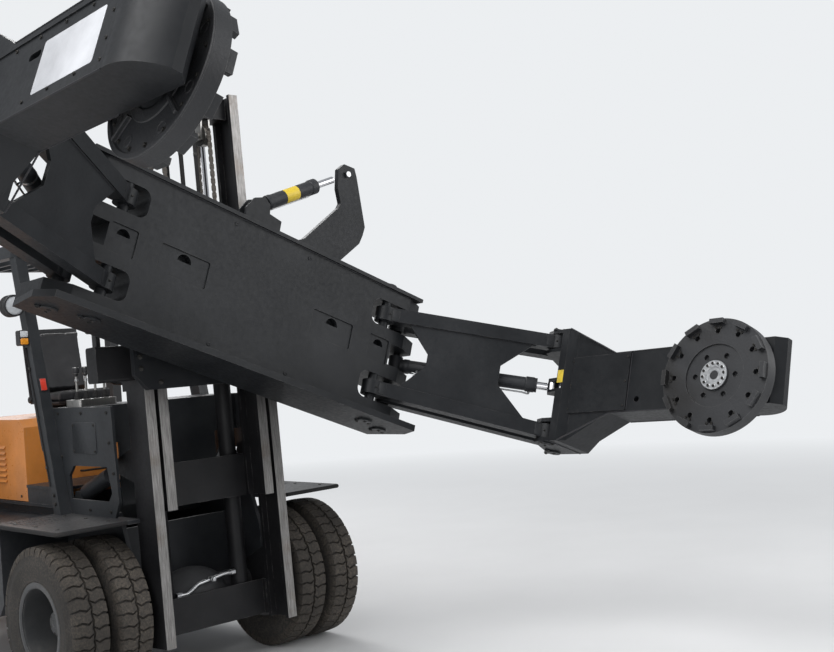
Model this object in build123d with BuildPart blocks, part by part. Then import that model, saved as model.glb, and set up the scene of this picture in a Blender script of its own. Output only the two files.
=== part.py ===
from build123d import *
import os
from math import cos, radians, sin

# A heavy forklift truck with twin front tyres that carries a rotating tyre handler on its mast.
# All lengths are millimetres. +X is forward, +Y is the driver's left and +Z is up.
# The origin lies on the floor under the middle of the whole machine.
os.makedirs("parts", exist_ok=True)

# Truck
WHEELBASE = 2800.0
REAR_OVERHANG = 800.0
FRAME_HALF = 545.0
RAIL_T = 30.0
RAIL_LOW = 430.0
DECK_Z = 1150.0
FLOOR_Z = 1300.0
FLOOR_T = 20.0
CAB_HALF = 640.0
PANEL_Y = 608.0
FENDER_TOP = 1126.0
POST_W = 80.0
POST_D = 95.0
POST_FOOT_X = -520.0
POST_TOP_X = -960.0
ROOF_Z = 2960.0
ROOF_T = 90.0
COWL_TOP = 1860.0
COWL_FRONT = -150.0
PANEL_FRONT = 190.0
PANEL_T = 20.0
HOOD_FRONT = -1170.0
HOOD_LOW = 1176.0
HOOD_HALF = 595.0
HINGE_Z = 1742.0
HINGE_R = 18.0
HINGE_PIN_R = 10.0
HINGE_Y = 365.0
HINGE_W = 70.0
HOOD_TOP = 1780.0
HOOD_T = 20.0
SEAT_X = -1620.0
WEIGHT_HALF = 1030.0
WEIGHT_LOW = 430.0
WEIGHT_TOP = 1720.0
ARCH_HALF = 660.0
ARCH_TOP = 1075.0
ARCH_INNER = 270.0
TOW_PIN_R = 19.0
TOW_Z = 640.0
TOW_IN = 85.0

# Wheels
TYRE_R = 509.0
TREAD_W = 220.0
SECTION_W = 256.0
BEAD_R = 262.0
RIM_EDGE_R = 284.0
DUAL_PITCH = 304.0
FRAME_CLEAR = 28.0
REAR_TRACK = 920.0
HUB_R = 105.0
SPINDLE_R = 52.0
RUN_GAP = 1.0
KINGPIN_Y = 690.0
KINGPIN_R = 28.0
TRACK_OUTER = FRAME_HALF + FRAME_CLEAR + SECTION_W / 2 + DUAL_PITCH

# Truck sizes that follow from the ones above
FENDER_HALF = TRACK_OUTER + SECTION_W / 2 - 13
WEIGHT_FRONT = -WHEELBASE + 480
HOOD_REAR = WEIGHT_FRONT + 20
HINGE_X = HOOD_REAR + 10
RAIL_REAR = WEIGHT_FRONT + 170
TANK_REAR = RAIL_REAR + 40
REAR_POST_X = RAIL_REAR + 90
ENGINE_L = HOOD_FRONT - HOOD_REAR - 250
ENGINE_X = (HOOD_FRONT + HOOD_REAR) / 2 + 85

# Mast, leaning back by MAST_LEAN about a pivot low on the frame
MAST_LEAN = 2.2
MAST_FACE_X = 526.0
AXLE_R = 100.0
HOOK_OUT_R = 150.0
OUTER_HALF = 519.0
INNER_HALF = 422.0
FLANGE_W = 70.0
CHANNEL_D = 230.0
FLANGE_T = 30.0
WEB_T = 26.0
OUTER_LOW = 294.0
OUTER_TOP = 3110.0
RAISED = 860.0
INNER_LOW = 304.0 + RAISED
INNER_TOP = OUTER_TOP + RAISED
ROLLER_R = 84.0
LIFT_Y = 300.0
LIFT_F = -338.0
LIFT_BARREL_R = 60.0
LIFT_ROD_R = 38.0
CHAIN_Y = 190.0
HOSE_Y = 60.0
PULLEY_R = 75.0
CHAIN_W = 34.0
CHAIN_T = 14.0
HOSE_R = 13.0
TILT_Y = 484.0
TILT_BARREL_R = 55.0
TILT_ROD_R = 26.0
TILT_EYE_R = 40.0
TILT_EYE_T = 30.0
TILT_FOOT_X = -540.0
TILT_FOOT_Z = 1230.0
TILT_EYE_F = -400.0
TILT_EYE_H = 1470.0
TILT_PIN_R = 18.0
TILT_BARREL_START = 85.0
TILT_BARREL_END = 455.0
TILT_ROD_START = 290.0
TILT_SLOT_GAP = 40.0
TILT_SLOT_TOP = 1600.0

# Tyre handler. f runs forward, u towards the left along the beam, w up across the beam
ROTOR_H = 2453.0
ROLL = 21.3
BEAM_BACK = 250.0
BEAM_FRONT = 637.0
BEAM_HALF_H = 451.0
BEAM_END = 1380.0
BEAM_NOSE = 1230.0
LIP_FRONT = 760.0
LIP_HALF = 1430.0
LIP_T = 42.0
SKIN_T = 25.0
SLOT_IN = 904.0
SLOT_LOW = 171.0
SLOT_HIGH = 355.0
PIN_F = 600.0
PIN_U = 1050.0
PIN_R = 35.0
PIN_GAP = 0.4
BOSS_R = 68.0
BAR_H = 96.0
BAR_D = 96.0
BODY_PIN_W = 266.0
ARM_PIN_W = 327.0
LINK_L = 1264.0
LINK_OPEN = 55.0
REAR_PIN_F = -100.0
REAR_PIN_U = 220.0
YOKE_HALF = 405.0
LUG_T = 26.0
ARM_HALF = 210.0
ARM_IN = -5.0
ARM_OUT = 235.0
PAD_REACH = 1391.0
ARM_TAIL = 380.0
PAD_R = 367.0
PAD_FACE = -128.0
PAD_DROP = 50.0
PAD_RIM = 76.0
RECESS_DEEP = 12.0
PAD_HOLE_R = 17.0
PAD_HOLE_DEEP = 34.0
TOOTH_H = 38.0
TOOTH_T = 30.0
TOOTH_W = 96.0
NECK_R = 125.0
ARM_BOSS_R = 150.0
ARM_BOSS_T = 40.0
TEETH = 12
RING_HOLES = 12
HUB_HOLES = 6
CYL_F = 470.0
CYL_U = 1335.0
CYL_R = 48.0
CYL_ROD_R = 27.0
CYL_EYE_R = 46.0
CYL_PIN_R = 25.0
CYL_BARREL_END = 1020.0
CYL_ROD_START = 560.0
CYL_POCKET_IN = 1120.0
CYL_POCKET_H = 150.0
ROTOR_R = 470.0
ROTOR_BOLT_R = 410.0
ROTOR_BACK = 166.0
DRUM_R = 400.0
# stay hook on top of the beam, drawn as u and w
HOOK_F = 420.0
HOOK_T = 40.0
HOOK_U = 300.0
HOOK_W = 395.0
HOOK_PIN = (600.0, 1190.0)
HOOK_FOOT = (-33.0, 682.0)
HOOK_BARREL_END = 505.0
HOOK_ROD_START = 400.0

# Work out where the front axle stands, so that the origin is under the middle
LEAN = radians(MAST_LEAN)
TURN = radians(ROLL)
OPEN = radians(LINK_OPEN)
ARM_PIN_F = PIN_F + LINK_L * cos(OPEN)
ARM_PIN_U = PIN_U + LINK_L * sin(OPEN)
PAD_F = ARM_PIN_F + PAD_REACH
PAD_U = ARM_PIN_U + PAD_FACE
ARM_END = ARM_PIN_F + PAD_REACH + ARM_TAIL
FRONT_REACH = (MAST_FACE_X - ROTOR_H * sin(LEAN) + ARM_END * cos(LEAN)
               + (ARM_PIN_U + 90) * sin(TURN) * sin(LEAN) + ARM_HALF * cos(TURN) * sin(LEAN))
AXLE_X = (WHEELBASE + REAR_OVERHANG - FRONT_REACH) / 2


def spot(x, y, z):
    """A point given from the floor under the front axle."""
    return (AXLE_X + x, y, z)


def plan(base, h):
    """The sketch plane that looks along a frame's own up axis, at height h."""
    return base.offset(h)


def facing(base, d):
    """The sketch plane across a frame at distance d forward, drawn as left and up."""
    return Plane(origin=base.from_local_coords((d, 0, 0)), x_dir=base.y_dir, z_dir=base.x_dir)


def side(base, s):
    """The sketch plane along a frame at distance s to the left, drawn as forward and up."""
    return Plane(origin=base.from_local_coords((0, s, 0)), x_dir=base.x_dir, z_dir=-base.y_dir)


TRUCK = Plane(origin=spot(0, 0, 0), x_dir=(1, 0, 0), z_dir=(0, 0, 1))
MAST = Plane(origin=spot(MAST_FACE_X, 0, 0), x_dir=(cos(LEAN), 0, sin(LEAN)),
             z_dir=(-sin(LEAN), 0, cos(LEAN)))
ROLLED_UP = MAST.z_dir * cos(TURN) + MAST.y_dir * sin(TURN)
HANDLER = Plane(origin=MAST.from_local_coords((0, 0, ROTOR_H)), x_dir=MAST.x_dir, z_dir=ROLLED_UP)
MIDDLE = Plane(origin=TRUCK.origin, x_dir=(1, 0, 0), z_dir=(0, 1, 0))
HANDLER_MIDDLE = Plane(origin=HANDLER.origin, x_dir=HANDLER.x_dir, z_dir=HANDLER.y_dir)


def write(shape, name):
    """Hand one piece over as a STEP file."""
    shape.label = name
    export_step(shape, f"parts/{name}.step")


def mirrored(shape, about, name):
    """Write the same piece for the other side."""
    with BuildPart() as twin:
        mirror(shape, about=about)
    write(twin.part, name)


# Tyres: each one a closed outline turned about its axle
def tyre(x, y):
    """A tyre with its middle y to the left of the truck's middle."""
    half = TREAD_W / 2
    seat_half = half - 8
    with BuildPart() as ring:
        with BuildSketch(Plane(origin=spot(x, y, TYRE_R), x_dir=(0, 1, 0), z_dir=(1, 0, 0))):
            with BuildLine():
                Polyline((-seat_half, RIM_EDGE_R + 2), (-seat_half, BEAD_R), (seat_half, BEAD_R),
                         (seat_half, RIM_EDGE_R + 2))
                ThreePointArc((seat_half, RIM_EDGE_R + 2), (SECTION_W / 2, 385), (half + 2, TYRE_R - 24))
                Line((half + 2, TYRE_R - 24), (seat_half, TYRE_R - 5))
                ThreePointArc((seat_half, TYRE_R - 5), (0, TYRE_R), (-seat_half, TYRE_R - 5))
                Line((-seat_half, TYRE_R - 5), (-half - 2, TYRE_R - 24))
                ThreePointArc((-half - 2, TYRE_R - 24), (-SECTION_W / 2, 385),
                              (-seat_half, RIM_EDGE_R + 2))
            make_face()
        revolve(axis=Axis(spot(x, y, TYRE_R), (0, 1, 0)))
    return ring.part


with BuildPart() as front_tyres_left:
    add(tyre(0, TRACK_OUTER))
    add(tyre(0, TRACK_OUTER - DUAL_PITCH))
write(front_tyres_left.part, "front_tyres_left")
mirrored(front_tyres_left.part, MIDDLE, "front_tyres_right")

with BuildPart() as rear_tyre_left:
    add(tyre(-WHEELBASE, REAR_TRACK))
write(rear_tyre_left.part, "rear_tyre_left")
mirrored(rear_tyre_left.part, MIDDLE, "rear_tyre_right")

# Rims: barrel, raised edges, disc and hub, with hand holes
RIM_HALF = TREAD_W / 2 - 4
RIM_T = 14.0
HAND_HOLE_RING_R = 206.0
HAND_HOLE_R = 26.0
SPINDLE_LEN = 150.0


def rim_outline(centre):
    """The barrel of one rim and its two raised edges, drawn in a half plane."""
    with Locations((centre, BEAD_R - RIM_T / 2)):
        Rectangle(2 * RIM_HALF, RIM_T)
    for end in (-1, 1):
        with Locations((centre + end * (TREAD_W / 2 - 3), RIM_EDGE_R - 19)):
            Rectangle(10, 38)


def rim(x, centres, disc_y, disc_t, bridge, hub_in, hub_out, cap_out):
    """One hub with its disc and the rims on it, drawn in a half plane and turned."""
    with BuildPart() as wheel:
        with BuildSketch(Plane(origin=spot(x, 0, TYRE_R), x_dir=(0, 1, 0), z_dir=(1, 0, 0))):
            for centre in centres:
                rim_outline(centre)
            with Locations((disc_y, (BEAD_R + HUB_R) / 2 - 8)):
                Rectangle(disc_t, BEAD_R - HUB_R)
            with Locations((disc_y, BEAD_R - RIM_T / 2)):
                Rectangle(bridge, RIM_T)
            with Locations(((hub_in + hub_out) / 2, HUB_R / 2)):
                Rectangle(hub_out - hub_in, HUB_R)
            with Locations(((hub_out + cap_out) / 2 - 5, HUB_R * 0.35)):
                Rectangle(cap_out - hub_out + 10, HUB_R * 0.7)
        revolve(axis=Axis(spot(x, 0, TYRE_R), (0, 1, 0)))
        with BuildSketch(Plane(origin=spot(x, hub_in - 1, TYRE_R), x_dir=(1, 0, 0), z_dir=(0, 1, 0))):
            Circle(SPINDLE_R + RUN_GAP)
        extrude(amount=SPINDLE_LEN + 12, mode=Mode.SUBTRACT)
        with BuildSketch(Plane(origin=spot(x, disc_y - 40, TYRE_R), x_dir=(1, 0, 0), z_dir=(0, 1, 0))):
            with PolarLocations(HAND_HOLE_RING_R, 6):
                Circle(HAND_HOLE_R)
        extrude(amount=80, mode=Mode.SUBTRACT)
    return wheel.part


AXLE_END = 610.0
MATE_Y = TRACK_OUTER - DUAL_PITCH / 2
with BuildPart() as front_rims_left:
    add(rim(0, (TRACK_OUTER, TRACK_OUTER - DUAL_PITCH), MATE_Y, 44.0, DUAL_PITCH - TREAD_W + 20,
            AXLE_END, MATE_Y + 70, MATE_Y + 150))
write(front_rims_left.part, "front_rims_left")
mirrored(front_rims_left.part, MIDDLE, "front_rims_right")

REAR_HUB_IN = 800.0
with BuildPart() as rear_rim_left:
    add(rim(-WHEELBASE, (REAR_TRACK,), REAR_TRACK + 20, 20.0, 40.0, REAR_HUB_IN, REAR_TRACK + 60,
            REAR_TRACK + 100))
write(rear_rim_left.part, "rear_rim_left")
mirrored(rear_rim_left.part, MIDDLE, "rear_rim_right")

# Front axle: a casing with a bulge in the middle and a spindle at each end
BULGE_HALF = 225.0
BULGE_R = 180.0
SHOULDER_R = 118.0
with BuildPart() as front_axle:
    with BuildSketch(Plane(origin=spot(0, 0, TYRE_R), x_dir=(0, 1, 0), z_dir=(1, 0, 0))):
        with BuildLine():
            Polyline((AXLE_END + SPINDLE_LEN, 0), (AXLE_END + SPINDLE_LEN, SPINDLE_R),
                     (AXLE_END - RUN_GAP, SPINDLE_R), (AXLE_END - RUN_GAP, SHOULDER_R),
                     (AXLE_END - 36, SHOULDER_R), (AXLE_END - 50, AXLE_R), (BULGE_HALF, AXLE_R))
            ThreePointArc((BULGE_HALF, AXLE_R), (0, BULGE_R), (-BULGE_HALF, AXLE_R))
            Polyline((-BULGE_HALF, AXLE_R), (-AXLE_END + 50, AXLE_R), (-AXLE_END + 36, SHOULDER_R),
                     (-AXLE_END + RUN_GAP, SHOULDER_R), (-AXLE_END + RUN_GAP, SPINDLE_R),
                     (-AXLE_END - SPINDLE_LEN, SPINDLE_R), (-AXLE_END - SPINDLE_LEN, 0),
                     (AXLE_END + SPINDLE_LEN, 0))
        make_face()
    revolve(axis=Axis(spot(0, 0, TYRE_R), (0, 1, 0)))
write(front_axle.part, "front_axle")

# Chassis: two deep rails that stand on the axles, cross plates, tanks with steps, fenders
RAIL_IN = FRAME_HALF - RAIL_T
TANK_OUT = 1040.0
TANK_TOP = 1080.0
TANK_LOW = 470.0
TANK_FRONT = -680.0
CROSS_TOP = 1000.0
CROSS_T = 32.0
BOTTOM_T = 16.0
FENDER_FRONT = 330.0
FENDER_T = 26.0
STEP_L = 380.0
STEP_H = 150.0
STEP_DEEP = 210.0
DECK_PLATE_T = 20.0
AXLE_SEAT = TYRE_R + AXLE_R + 0.3
EAR_T = 16.0
EAR_GAP = 3.0
DECK_HALF = 605.0
with BuildPart() as chassis:
    with BuildSketch(side(TRUCK, FRAME_HALF)):
        with BuildLine():
            Polyline((60, DECK_Z), (150, 900), (150, 700), (90, AXLE_SEAT), (-200, AXLE_SEAT),
                     (-215, RAIL_LOW), (RAIL_REAR + 50, RAIL_LOW), (RAIL_REAR, RAIL_LOW + 70),
                     (RAIL_REAR, DECK_Z - 90), (WEIGHT_FRONT, DECK_Z - 90), (WEIGHT_FRONT, DECK_Z),
                     (60, DECK_Z))
        make_face()
    extrude(amount=RAIL_T)
    with BuildSketch(side(TRUCK, TANK_OUT)):
        with BuildLine():
            Polyline((TANK_FRONT, TANK_TOP), (TANK_FRONT, TANK_LOW + 90), (TANK_FRONT - 80, TANK_LOW),
                     (TANK_REAR + 80, TANK_LOW), (TANK_REAR, TANK_LOW + 90), (TANK_REAR, TANK_TOP),
                     (TANK_FRONT, TANK_TOP))
        make_face()
    extrude(amount=TANK_OUT - FRAME_HALF)
    with BuildSketch(side(TRUCK, TANK_OUT + 1)):
        with Locations((TANK_FRONT - 270, (TANK_LOW + TANK_TOP) / 2 + 25)):
            RectangleRounded(STEP_L, STEP_H, 30)
    extrude(amount=STEP_DEEP, mode=Mode.SUBTRACT)
    with BuildSketch(side(TRUCK, FENDER_HALF)):
        with BuildLine():
            Polyline((FENDER_FRONT, FENDER_TOP - FENDER_T), (FENDER_FRONT, FENDER_TOP),
                     (TANK_FRONT + 80, FENDER_TOP), (TANK_FRONT - 20, TANK_TOP + 5),
                     (TANK_FRONT - 20, TANK_TOP - 1), (TANK_FRONT, TANK_TOP - 20),
                     (TANK_FRONT + 90, FENDER_TOP - FENDER_T), (FENDER_FRONT, FENDER_TOP - FENDER_T))
        make_face()
    extrude(amount=FENDER_HALF - FRAME_HALF + 1)
    with BuildSketch(plan(TRUCK, DECK_Z)):
        with Locations(((WEIGHT_FRONT + TANK_FRONT - 20) / 2, (RAIL_IN + DECK_HALF) / 2)):
            Rectangle(TANK_FRONT - 20 - WEIGHT_FRONT, DECK_HALF - RAIL_IN)
    extrude(amount=DECK_PLATE_T)
    # ears that hold the feet of the tilt cylinders
    for low in (TILT_Y - TILT_EYE_T / 2 - EAR_GAP - EAR_T, TILT_Y + TILT_EYE_T / 2 + EAR_GAP):
        with BuildSketch(side(TRUCK, low + EAR_T)):
            with BuildLine():
                Polyline((TILT_FOOT_X - 92, TILT_FOOT_Z - 180), (TILT_FOOT_X - 20, TILT_FOOT_Z - 130),
                         (TILT_FOOT_X + 40, TILT_FOOT_Z - 30), (TILT_FOOT_X + 35, TILT_FOOT_Z + 32),
                         (TILT_FOOT_X - 32, TILT_FOOT_Z + 36), (TILT_FOOT_X - 92, TILT_FOOT_Z - 80),
                         (TILT_FOOT_X - 92, TILT_FOOT_Z - 180))
            make_face()
        extrude(amount=EAR_T)
    with BuildSketch(Plane(origin=spot(TILT_FOOT_X, TILT_Y - TILT_EYE_T / 2 - EAR_GAP - 1, TILT_FOOT_Z),
                           x_dir=(1, 0, 0), z_dir=(0, 1, 0))):
        Circle(TILT_PIN_R)
    extrude(amount=TILT_EYE_T + 2 * EAR_GAP + 2)
    mirror(about=MIDDLE)
    for x, low, high in ((-215, RAIL_LOW, CROSS_TOP), (TILT_FOOT_X - 92, CROSS_TOP, DECK_Z),
                         (HOOD_FRONT - 30, RAIL_LOW, CROSS_TOP), (RAIL_REAR + 20, RAIL_LOW, CROSS_TOP)):
        with BuildSketch(facing(TRUCK, x)):
            with Locations((0, (low + high) / 2)):
                Rectangle(2 * RAIL_IN + 2, high - low)
        extrude(amount=CROSS_T)
    with BuildSketch(plan(TRUCK, RAIL_LOW)):
        with Locations(((RAIL_REAR + 55 - 205) / 2, 0)):
            Rectangle(-205 - RAIL_REAR - 55, 2 * RAIL_IN + 2)
    extrude(amount=BOTTOM_T)
write(chassis.part, "chassis")

# Floor and cowl in front of the driver
with BuildPart() as cowl:
    with BuildSketch(side(TRUCK, PANEL_Y)):
        with BuildLine():
            Polyline((-560, FENDER_TOP + 0.3), (PANEL_FRONT - 60, FENDER_TOP + 0.3), (PANEL_FRONT, 1230),
                     (PANEL_FRONT - 30, COWL_TOP), (-660, COWL_TOP), (-560, FENDER_TOP + 0.3))
        make_face()
        with BuildLine():
            Polyline((-470, 1230), (60, 1230), (110, 1290), (60, 1460), (-400, 1460), (-470, 1390),
                     (-470, 1230))
        make_face(mode=Mode.SUBTRACT)
    extrude(amount=PANEL_T)
    mirror(about=MIDDLE)
    with BuildSketch(facing(TRUCK, COWL_FRONT - PANEL_T)):
        with Locations((0, (TILT_SLOT_TOP + COWL_TOP) / 2)):
            Rectangle(2 * PANEL_Y - 2 * PANEL_T + 2, COWL_TOP - TILT_SLOT_TOP)
        with Locations((0, (FENDER_TOP + 40 + TILT_SLOT_TOP) / 2)):
            Rectangle(2 * (TILT_Y - TILT_BARREL_R - TILT_SLOT_GAP), TILT_SLOT_TOP - FENDER_TOP - 40)
    extrude(amount=PANEL_T)
    with BuildSketch(plan(TRUCK, COWL_TOP - 20)):
        with Locations(((COWL_FRONT - 640) / 2, 0)):
            Rectangle(COWL_FRONT + 640, 2 * PANEL_Y - 2)
    extrude(amount=20)
    with BuildSketch(plan(TRUCK, FLOOR_Z - FLOOR_T)):
        with Locations(((-600 + HOOD_FRONT + 12) / 2, 0)):
            Rectangle(-600 - HOOD_FRONT - 12, 2 * PANEL_Y - 2)
    extrude(amount=FLOOR_T)
    for sign in (-1, 1):
        with BuildSketch(plan(TRUCK, DECK_Z + DECK_PLATE_T)):
            with Locations(((TANK_FRONT - 25 + HOOD_FRONT + 12) / 2, sign * (PANEL_Y - 34))):
                Rectangle(TANK_FRONT - 25 - HOOD_FRONT - 12, 50)
        extrude(amount=FLOOR_Z - FLOOR_T - DECK_Z - DECK_PLATE_T + 1)
write(cowl.part, "cowl")

# Overhead guard: two leaning front posts, two rear posts and a barred roof
POST_Y = CAB_HALF + 10
with BuildPart() as overhead_guard:
    with BuildSketch(side(TRUCK, POST_Y + POST_W / 2)):
        with BuildLine():
            Polyline((POST_FOOT_X - POST_D / 2, FENDER_TOP + 0.3), (POST_FOOT_X + POST_D / 2, FENDER_TOP + 0.3),
                     (POST_TOP_X + POST_D / 2, ROOF_Z), (POST_TOP_X - POST_D / 2, ROOF_Z),
                     (POST_FOOT_X - POST_D / 2, FENDER_TOP + 0.3))
        make_face()
        with BuildLine():
            Polyline((REAR_POST_X - 45, TANK_TOP + 0.3), (REAR_POST_X + 55, TANK_TOP + 0.3),
                     (REAR_POST_X + 75, ROOF_Z), (REAR_POST_X - 15, ROOF_Z),
                     (REAR_POST_X - 45, TANK_TOP + 0.3))
        make_face()
    extrude(amount=POST_W)
    mirror(about=MIDDLE)
    with BuildSketch(plan(TRUCK, ROOF_Z)):
        with Locations(((POST_TOP_X + REAR_POST_X) / 2, 0)):
            RectangleRounded(POST_TOP_X - REAR_POST_X + 160, 2 * POST_Y + POST_W + 20, 90)
            Rectangle(POST_TOP_X - REAR_POST_X, 2 * CAB_HALF - 60, mode=Mode.SUBTRACT)
            with GridLocations(0, 150, 1, 7):
                Rectangle(POST_TOP_X - REAR_POST_X + 4, 34)
    extrude(amount=ROOF_T)
write(overhead_guard.part, "overhead_guard")

# Hood over the engine, hinged at its rear upper edge, with the seat on it
HOOD_INSIDE = HOOD_HALF - HOOD_T
HOOD_SLOPE = 60.0
with BuildPart() as hood:
    with BuildSketch(side(TRUCK, HOOD_INSIDE)):
        with BuildLine():
            Polyline((HOOD_FRONT, HOOD_LOW), (HOOD_FRONT, HOOD_TOP - HOOD_SLOPE),
                     (HOOD_FRONT - HOOD_SLOPE, HOOD_TOP), (HOOD_REAR, HOOD_TOP),
                     (HOOD_REAR, HOOD_TOP - HOOD_T), (HOOD_FRONT - HOOD_SLOPE - 8, HOOD_TOP - HOOD_T),
                     (HOOD_FRONT - HOOD_T, HOOD_TOP - HOOD_SLOPE - 10), (HOOD_FRONT - HOOD_T, HOOD_LOW),
                     (HOOD_FRONT, HOOD_LOW))
        make_face()
    extrude(amount=2 * HOOD_INSIDE)
    for y in (-HINGE_Y, HINGE_Y):
        with BuildSketch(side(TRUCK, y + HINGE_W / 2)):
            with Locations((HINGE_X, HINGE_Z)):
                Circle(HINGE_R)
                with Locations((0, HINGE_R / 2)):
                    Rectangle(HINGE_R, HINGE_R + 1)
                Circle(HINGE_PIN_R + PIN_GAP, mode=Mode.SUBTRACT)
        extrude(amount=HINGE_W)
write(hood.part, "hood")

with BuildPart() as hood_sides:
    with BuildSketch(side(TRUCK, HOOD_HALF)):
        with BuildLine():
            Polyline((HOOD_FRONT, HOOD_LOW), (HOOD_FRONT, HOOD_TOP - HOOD_SLOPE),
                     (HOOD_FRONT - HOOD_SLOPE, HOOD_TOP), (HOOD_REAR, HOOD_TOP), (HOOD_REAR, HOOD_LOW),
                     (HOOD_FRONT, HOOD_LOW))
        make_face()
    extrude(amount=HOOD_T)
    mirror(about=MIDDLE)
write(hood_sides.part, "hood_sides")

with BuildPart() as seat:
    with BuildSketch(plan(TRUCK, HOOD_TOP)):
        with Locations((SEAT_X + 60, 0)):
            RectangleRounded(400, 380, 30)
    extrude(amount=90)
    with BuildSketch(side(TRUCK, 250)):
        with BuildLine():
            Polyline((SEAT_X + 320, HOOD_TOP + 90), (SEAT_X + 340, HOOD_TOP + 190),
                     (SEAT_X - 60, HOOD_TOP + 170), (SEAT_X - 170, HOOD_TOP + 690),
                     (SEAT_X - 260, HOOD_TOP + 690), (SEAT_X - 170, HOOD_TOP + 90),
                     (SEAT_X + 320, HOOD_TOP + 90))
        make_face()
    extrude(amount=500)
write(seat.part, "seat")

# Engine under the hood, one plain block on two feet
ENGINE_W = 560.0
with BuildPart() as engine_block:
    with BuildSketch(plan(TRUCK, RAIL_LOW + 60)):
        with Locations((ENGINE_X, 0)):
            Rectangle(ENGINE_L, ENGINE_W)
    extrude(amount=HOOD_TOP - RAIL_LOW - 220)
    for x in (ENGINE_X - ENGINE_L / 2 + 120, ENGINE_X + ENGINE_L / 2 - 120):
        with BuildSketch(plan(TRUCK, RAIL_LOW + BOTTOM_T)):
            with Locations((x, 0)):
                Rectangle(120, ENGINE_W - 80)
        extrude(amount=61 - BOTTOM_T)
write(engine_block.part, "engine_block")

# Counterweight with round rear corners, wheel arches, a grille recess and a tow pocket
REAR_FACE = -WHEELBASE - REAR_OVERHANG
GRILLE_W = 980.0
GRILLE_H = 620.0
GRILLE_Z = 1240.0
TOW_POCKET_H = 110.0
with BuildPart() as counterweight:
    with BuildSketch(plan(TRUCK, WEIGHT_LOW)):
        with BuildLine():
            Polyline((REAR_FACE, 560), (REAR_FACE, -560))
            ThreePointArc((REAR_FACE, -560), (REAR_FACE + 125, -870), (REAR_FACE + 420, -WEIGHT_HALF))
            Polyline((REAR_FACE + 420, -WEIGHT_HALF), (WEIGHT_FRONT, -WEIGHT_HALF),
                     (WEIGHT_FRONT, WEIGHT_HALF), (REAR_FACE + 420, WEIGHT_HALF))
            ThreePointArc((REAR_FACE + 420, WEIGHT_HALF), (REAR_FACE + 125, 870), (REAR_FACE, 560))
        make_face()
    extrude(amount=WEIGHT_TOP - WEIGHT_LOW)
    with BuildSketch(side(TRUCK, WEIGHT_HALF)):
        with BuildLine():
            Polyline((WEIGHT_FRONT, WEIGHT_LOW), (REAR_FACE + 60, WEIGHT_LOW), (REAR_FACE, WEIGHT_LOW + 90),
                     (REAR_FACE, WEIGHT_TOP - 160), (REAR_FACE + 130, WEIGHT_TOP - 30),
                     (REAR_FACE + 260, WEIGHT_TOP), (WEIGHT_FRONT, WEIGHT_TOP), (WEIGHT_FRONT, WEIGHT_LOW))
        make_face()
    extrude(amount=2 * WEIGHT_HALF, mode=Mode.INTERSECT)
    for near in (ARCH_INNER, -WEIGHT_HALF - 10):
        with BuildSketch(Plane(origin=spot(-WHEELBASE, near, 0), x_dir=(-1, 0, 0), z_dir=(0, 1, 0))):
            with BuildLine():
                Polyline((-ARCH_HALF, WEIGHT_LOW - 10), (-ARCH_HALF, 640), (-560, 860), (-420, 1035),
                         (-300, ARCH_TOP), (300, ARCH_TOP), (420, 1035), (560, 860), (ARCH_HALF, 640),
                         (ARCH_HALF, WEIGHT_LOW - 10), (-ARCH_HALF, WEIGHT_LOW - 10))
            make_face()
        extrude(amount=WEIGHT_HALF + 10 - ARCH_INNER, mode=Mode.SUBTRACT)
    with BuildSketch(plan(TRUCK, WEIGHT_LOW - 1)):
        with Locations((-WHEELBASE + 60, 0)):
            Rectangle(880, 2 * ARCH_INNER + 2)
    extrude(amount=600, mode=Mode.SUBTRACT)
    with BuildSketch(facing(TRUCK, REAR_FACE)):
        with Locations((0, GRILLE_Z)):
            RectangleRounded(GRILLE_W, GRILLE_H, 60)
    extrude(amount=120, mode=Mode.SUBTRACT)
    with BuildSketch(facing(TRUCK, REAR_FACE)):
        with Locations((0, TOW_Z)):
            RectangleRounded(200, TOW_POCKET_H, 20)
    extrude(amount=130, mode=Mode.SUBTRACT)
    with BuildSketch(plan(TRUCK, WEIGHT_LOW - 1)):
        with Locations((REAR_FACE + TOW_IN, 0)):
            Circle(TOW_PIN_R)
    extrude(amount=TOW_Z + 90 - WEIGHT_LOW, mode=Mode.SUBTRACT)
    # lugs and pins of the hood's hinges
    for y in (-HINGE_Y, HINGE_Y):
        for end in (-1, 1):
            with BuildSketch(side(TRUCK, y + end * (HINGE_W / 2 + 10) + 8)):
                with BuildLine():
                    Polyline((WEIGHT_FRONT - 1, 1620), (HINGE_X + 18, 1700), (HINGE_X + 18, HINGE_Z),
                             (HINGE_X, HINGE_Z + 16), (HINGE_X - 16, HINGE_Z), (WEIGHT_FRONT - 1, 1715),
                             (WEIGHT_FRONT - 1, 1620))
                make_face()
            extrude(amount=16)
        with BuildSketch(side(TRUCK, y + HINGE_W / 2 + 3)):
            with Locations((HINGE_X, HINGE_Z)):
                Circle(HINGE_PIN_R)
        extrude(amount=HINGE_W + 6)
write(counterweight.part, "counterweight")

with BuildPart() as radiator_grille:
    with BuildSketch(facing(TRUCK, REAR_FACE + 30)):
        with Locations((0, GRILLE_Z)):
            RectangleRounded(GRILLE_W - 0.6, GRILLE_H - 0.6, 59.7)
            Rectangle(GRILLE_W - 100, GRILLE_H - 100, mode=Mode.SUBTRACT)
            with GridLocations(0, 58, 1, 8):
                Rectangle(GRILLE_W - 90, 26)
    extrude(amount=50)
write(radiator_grille.part, "radiator_grille")

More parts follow.
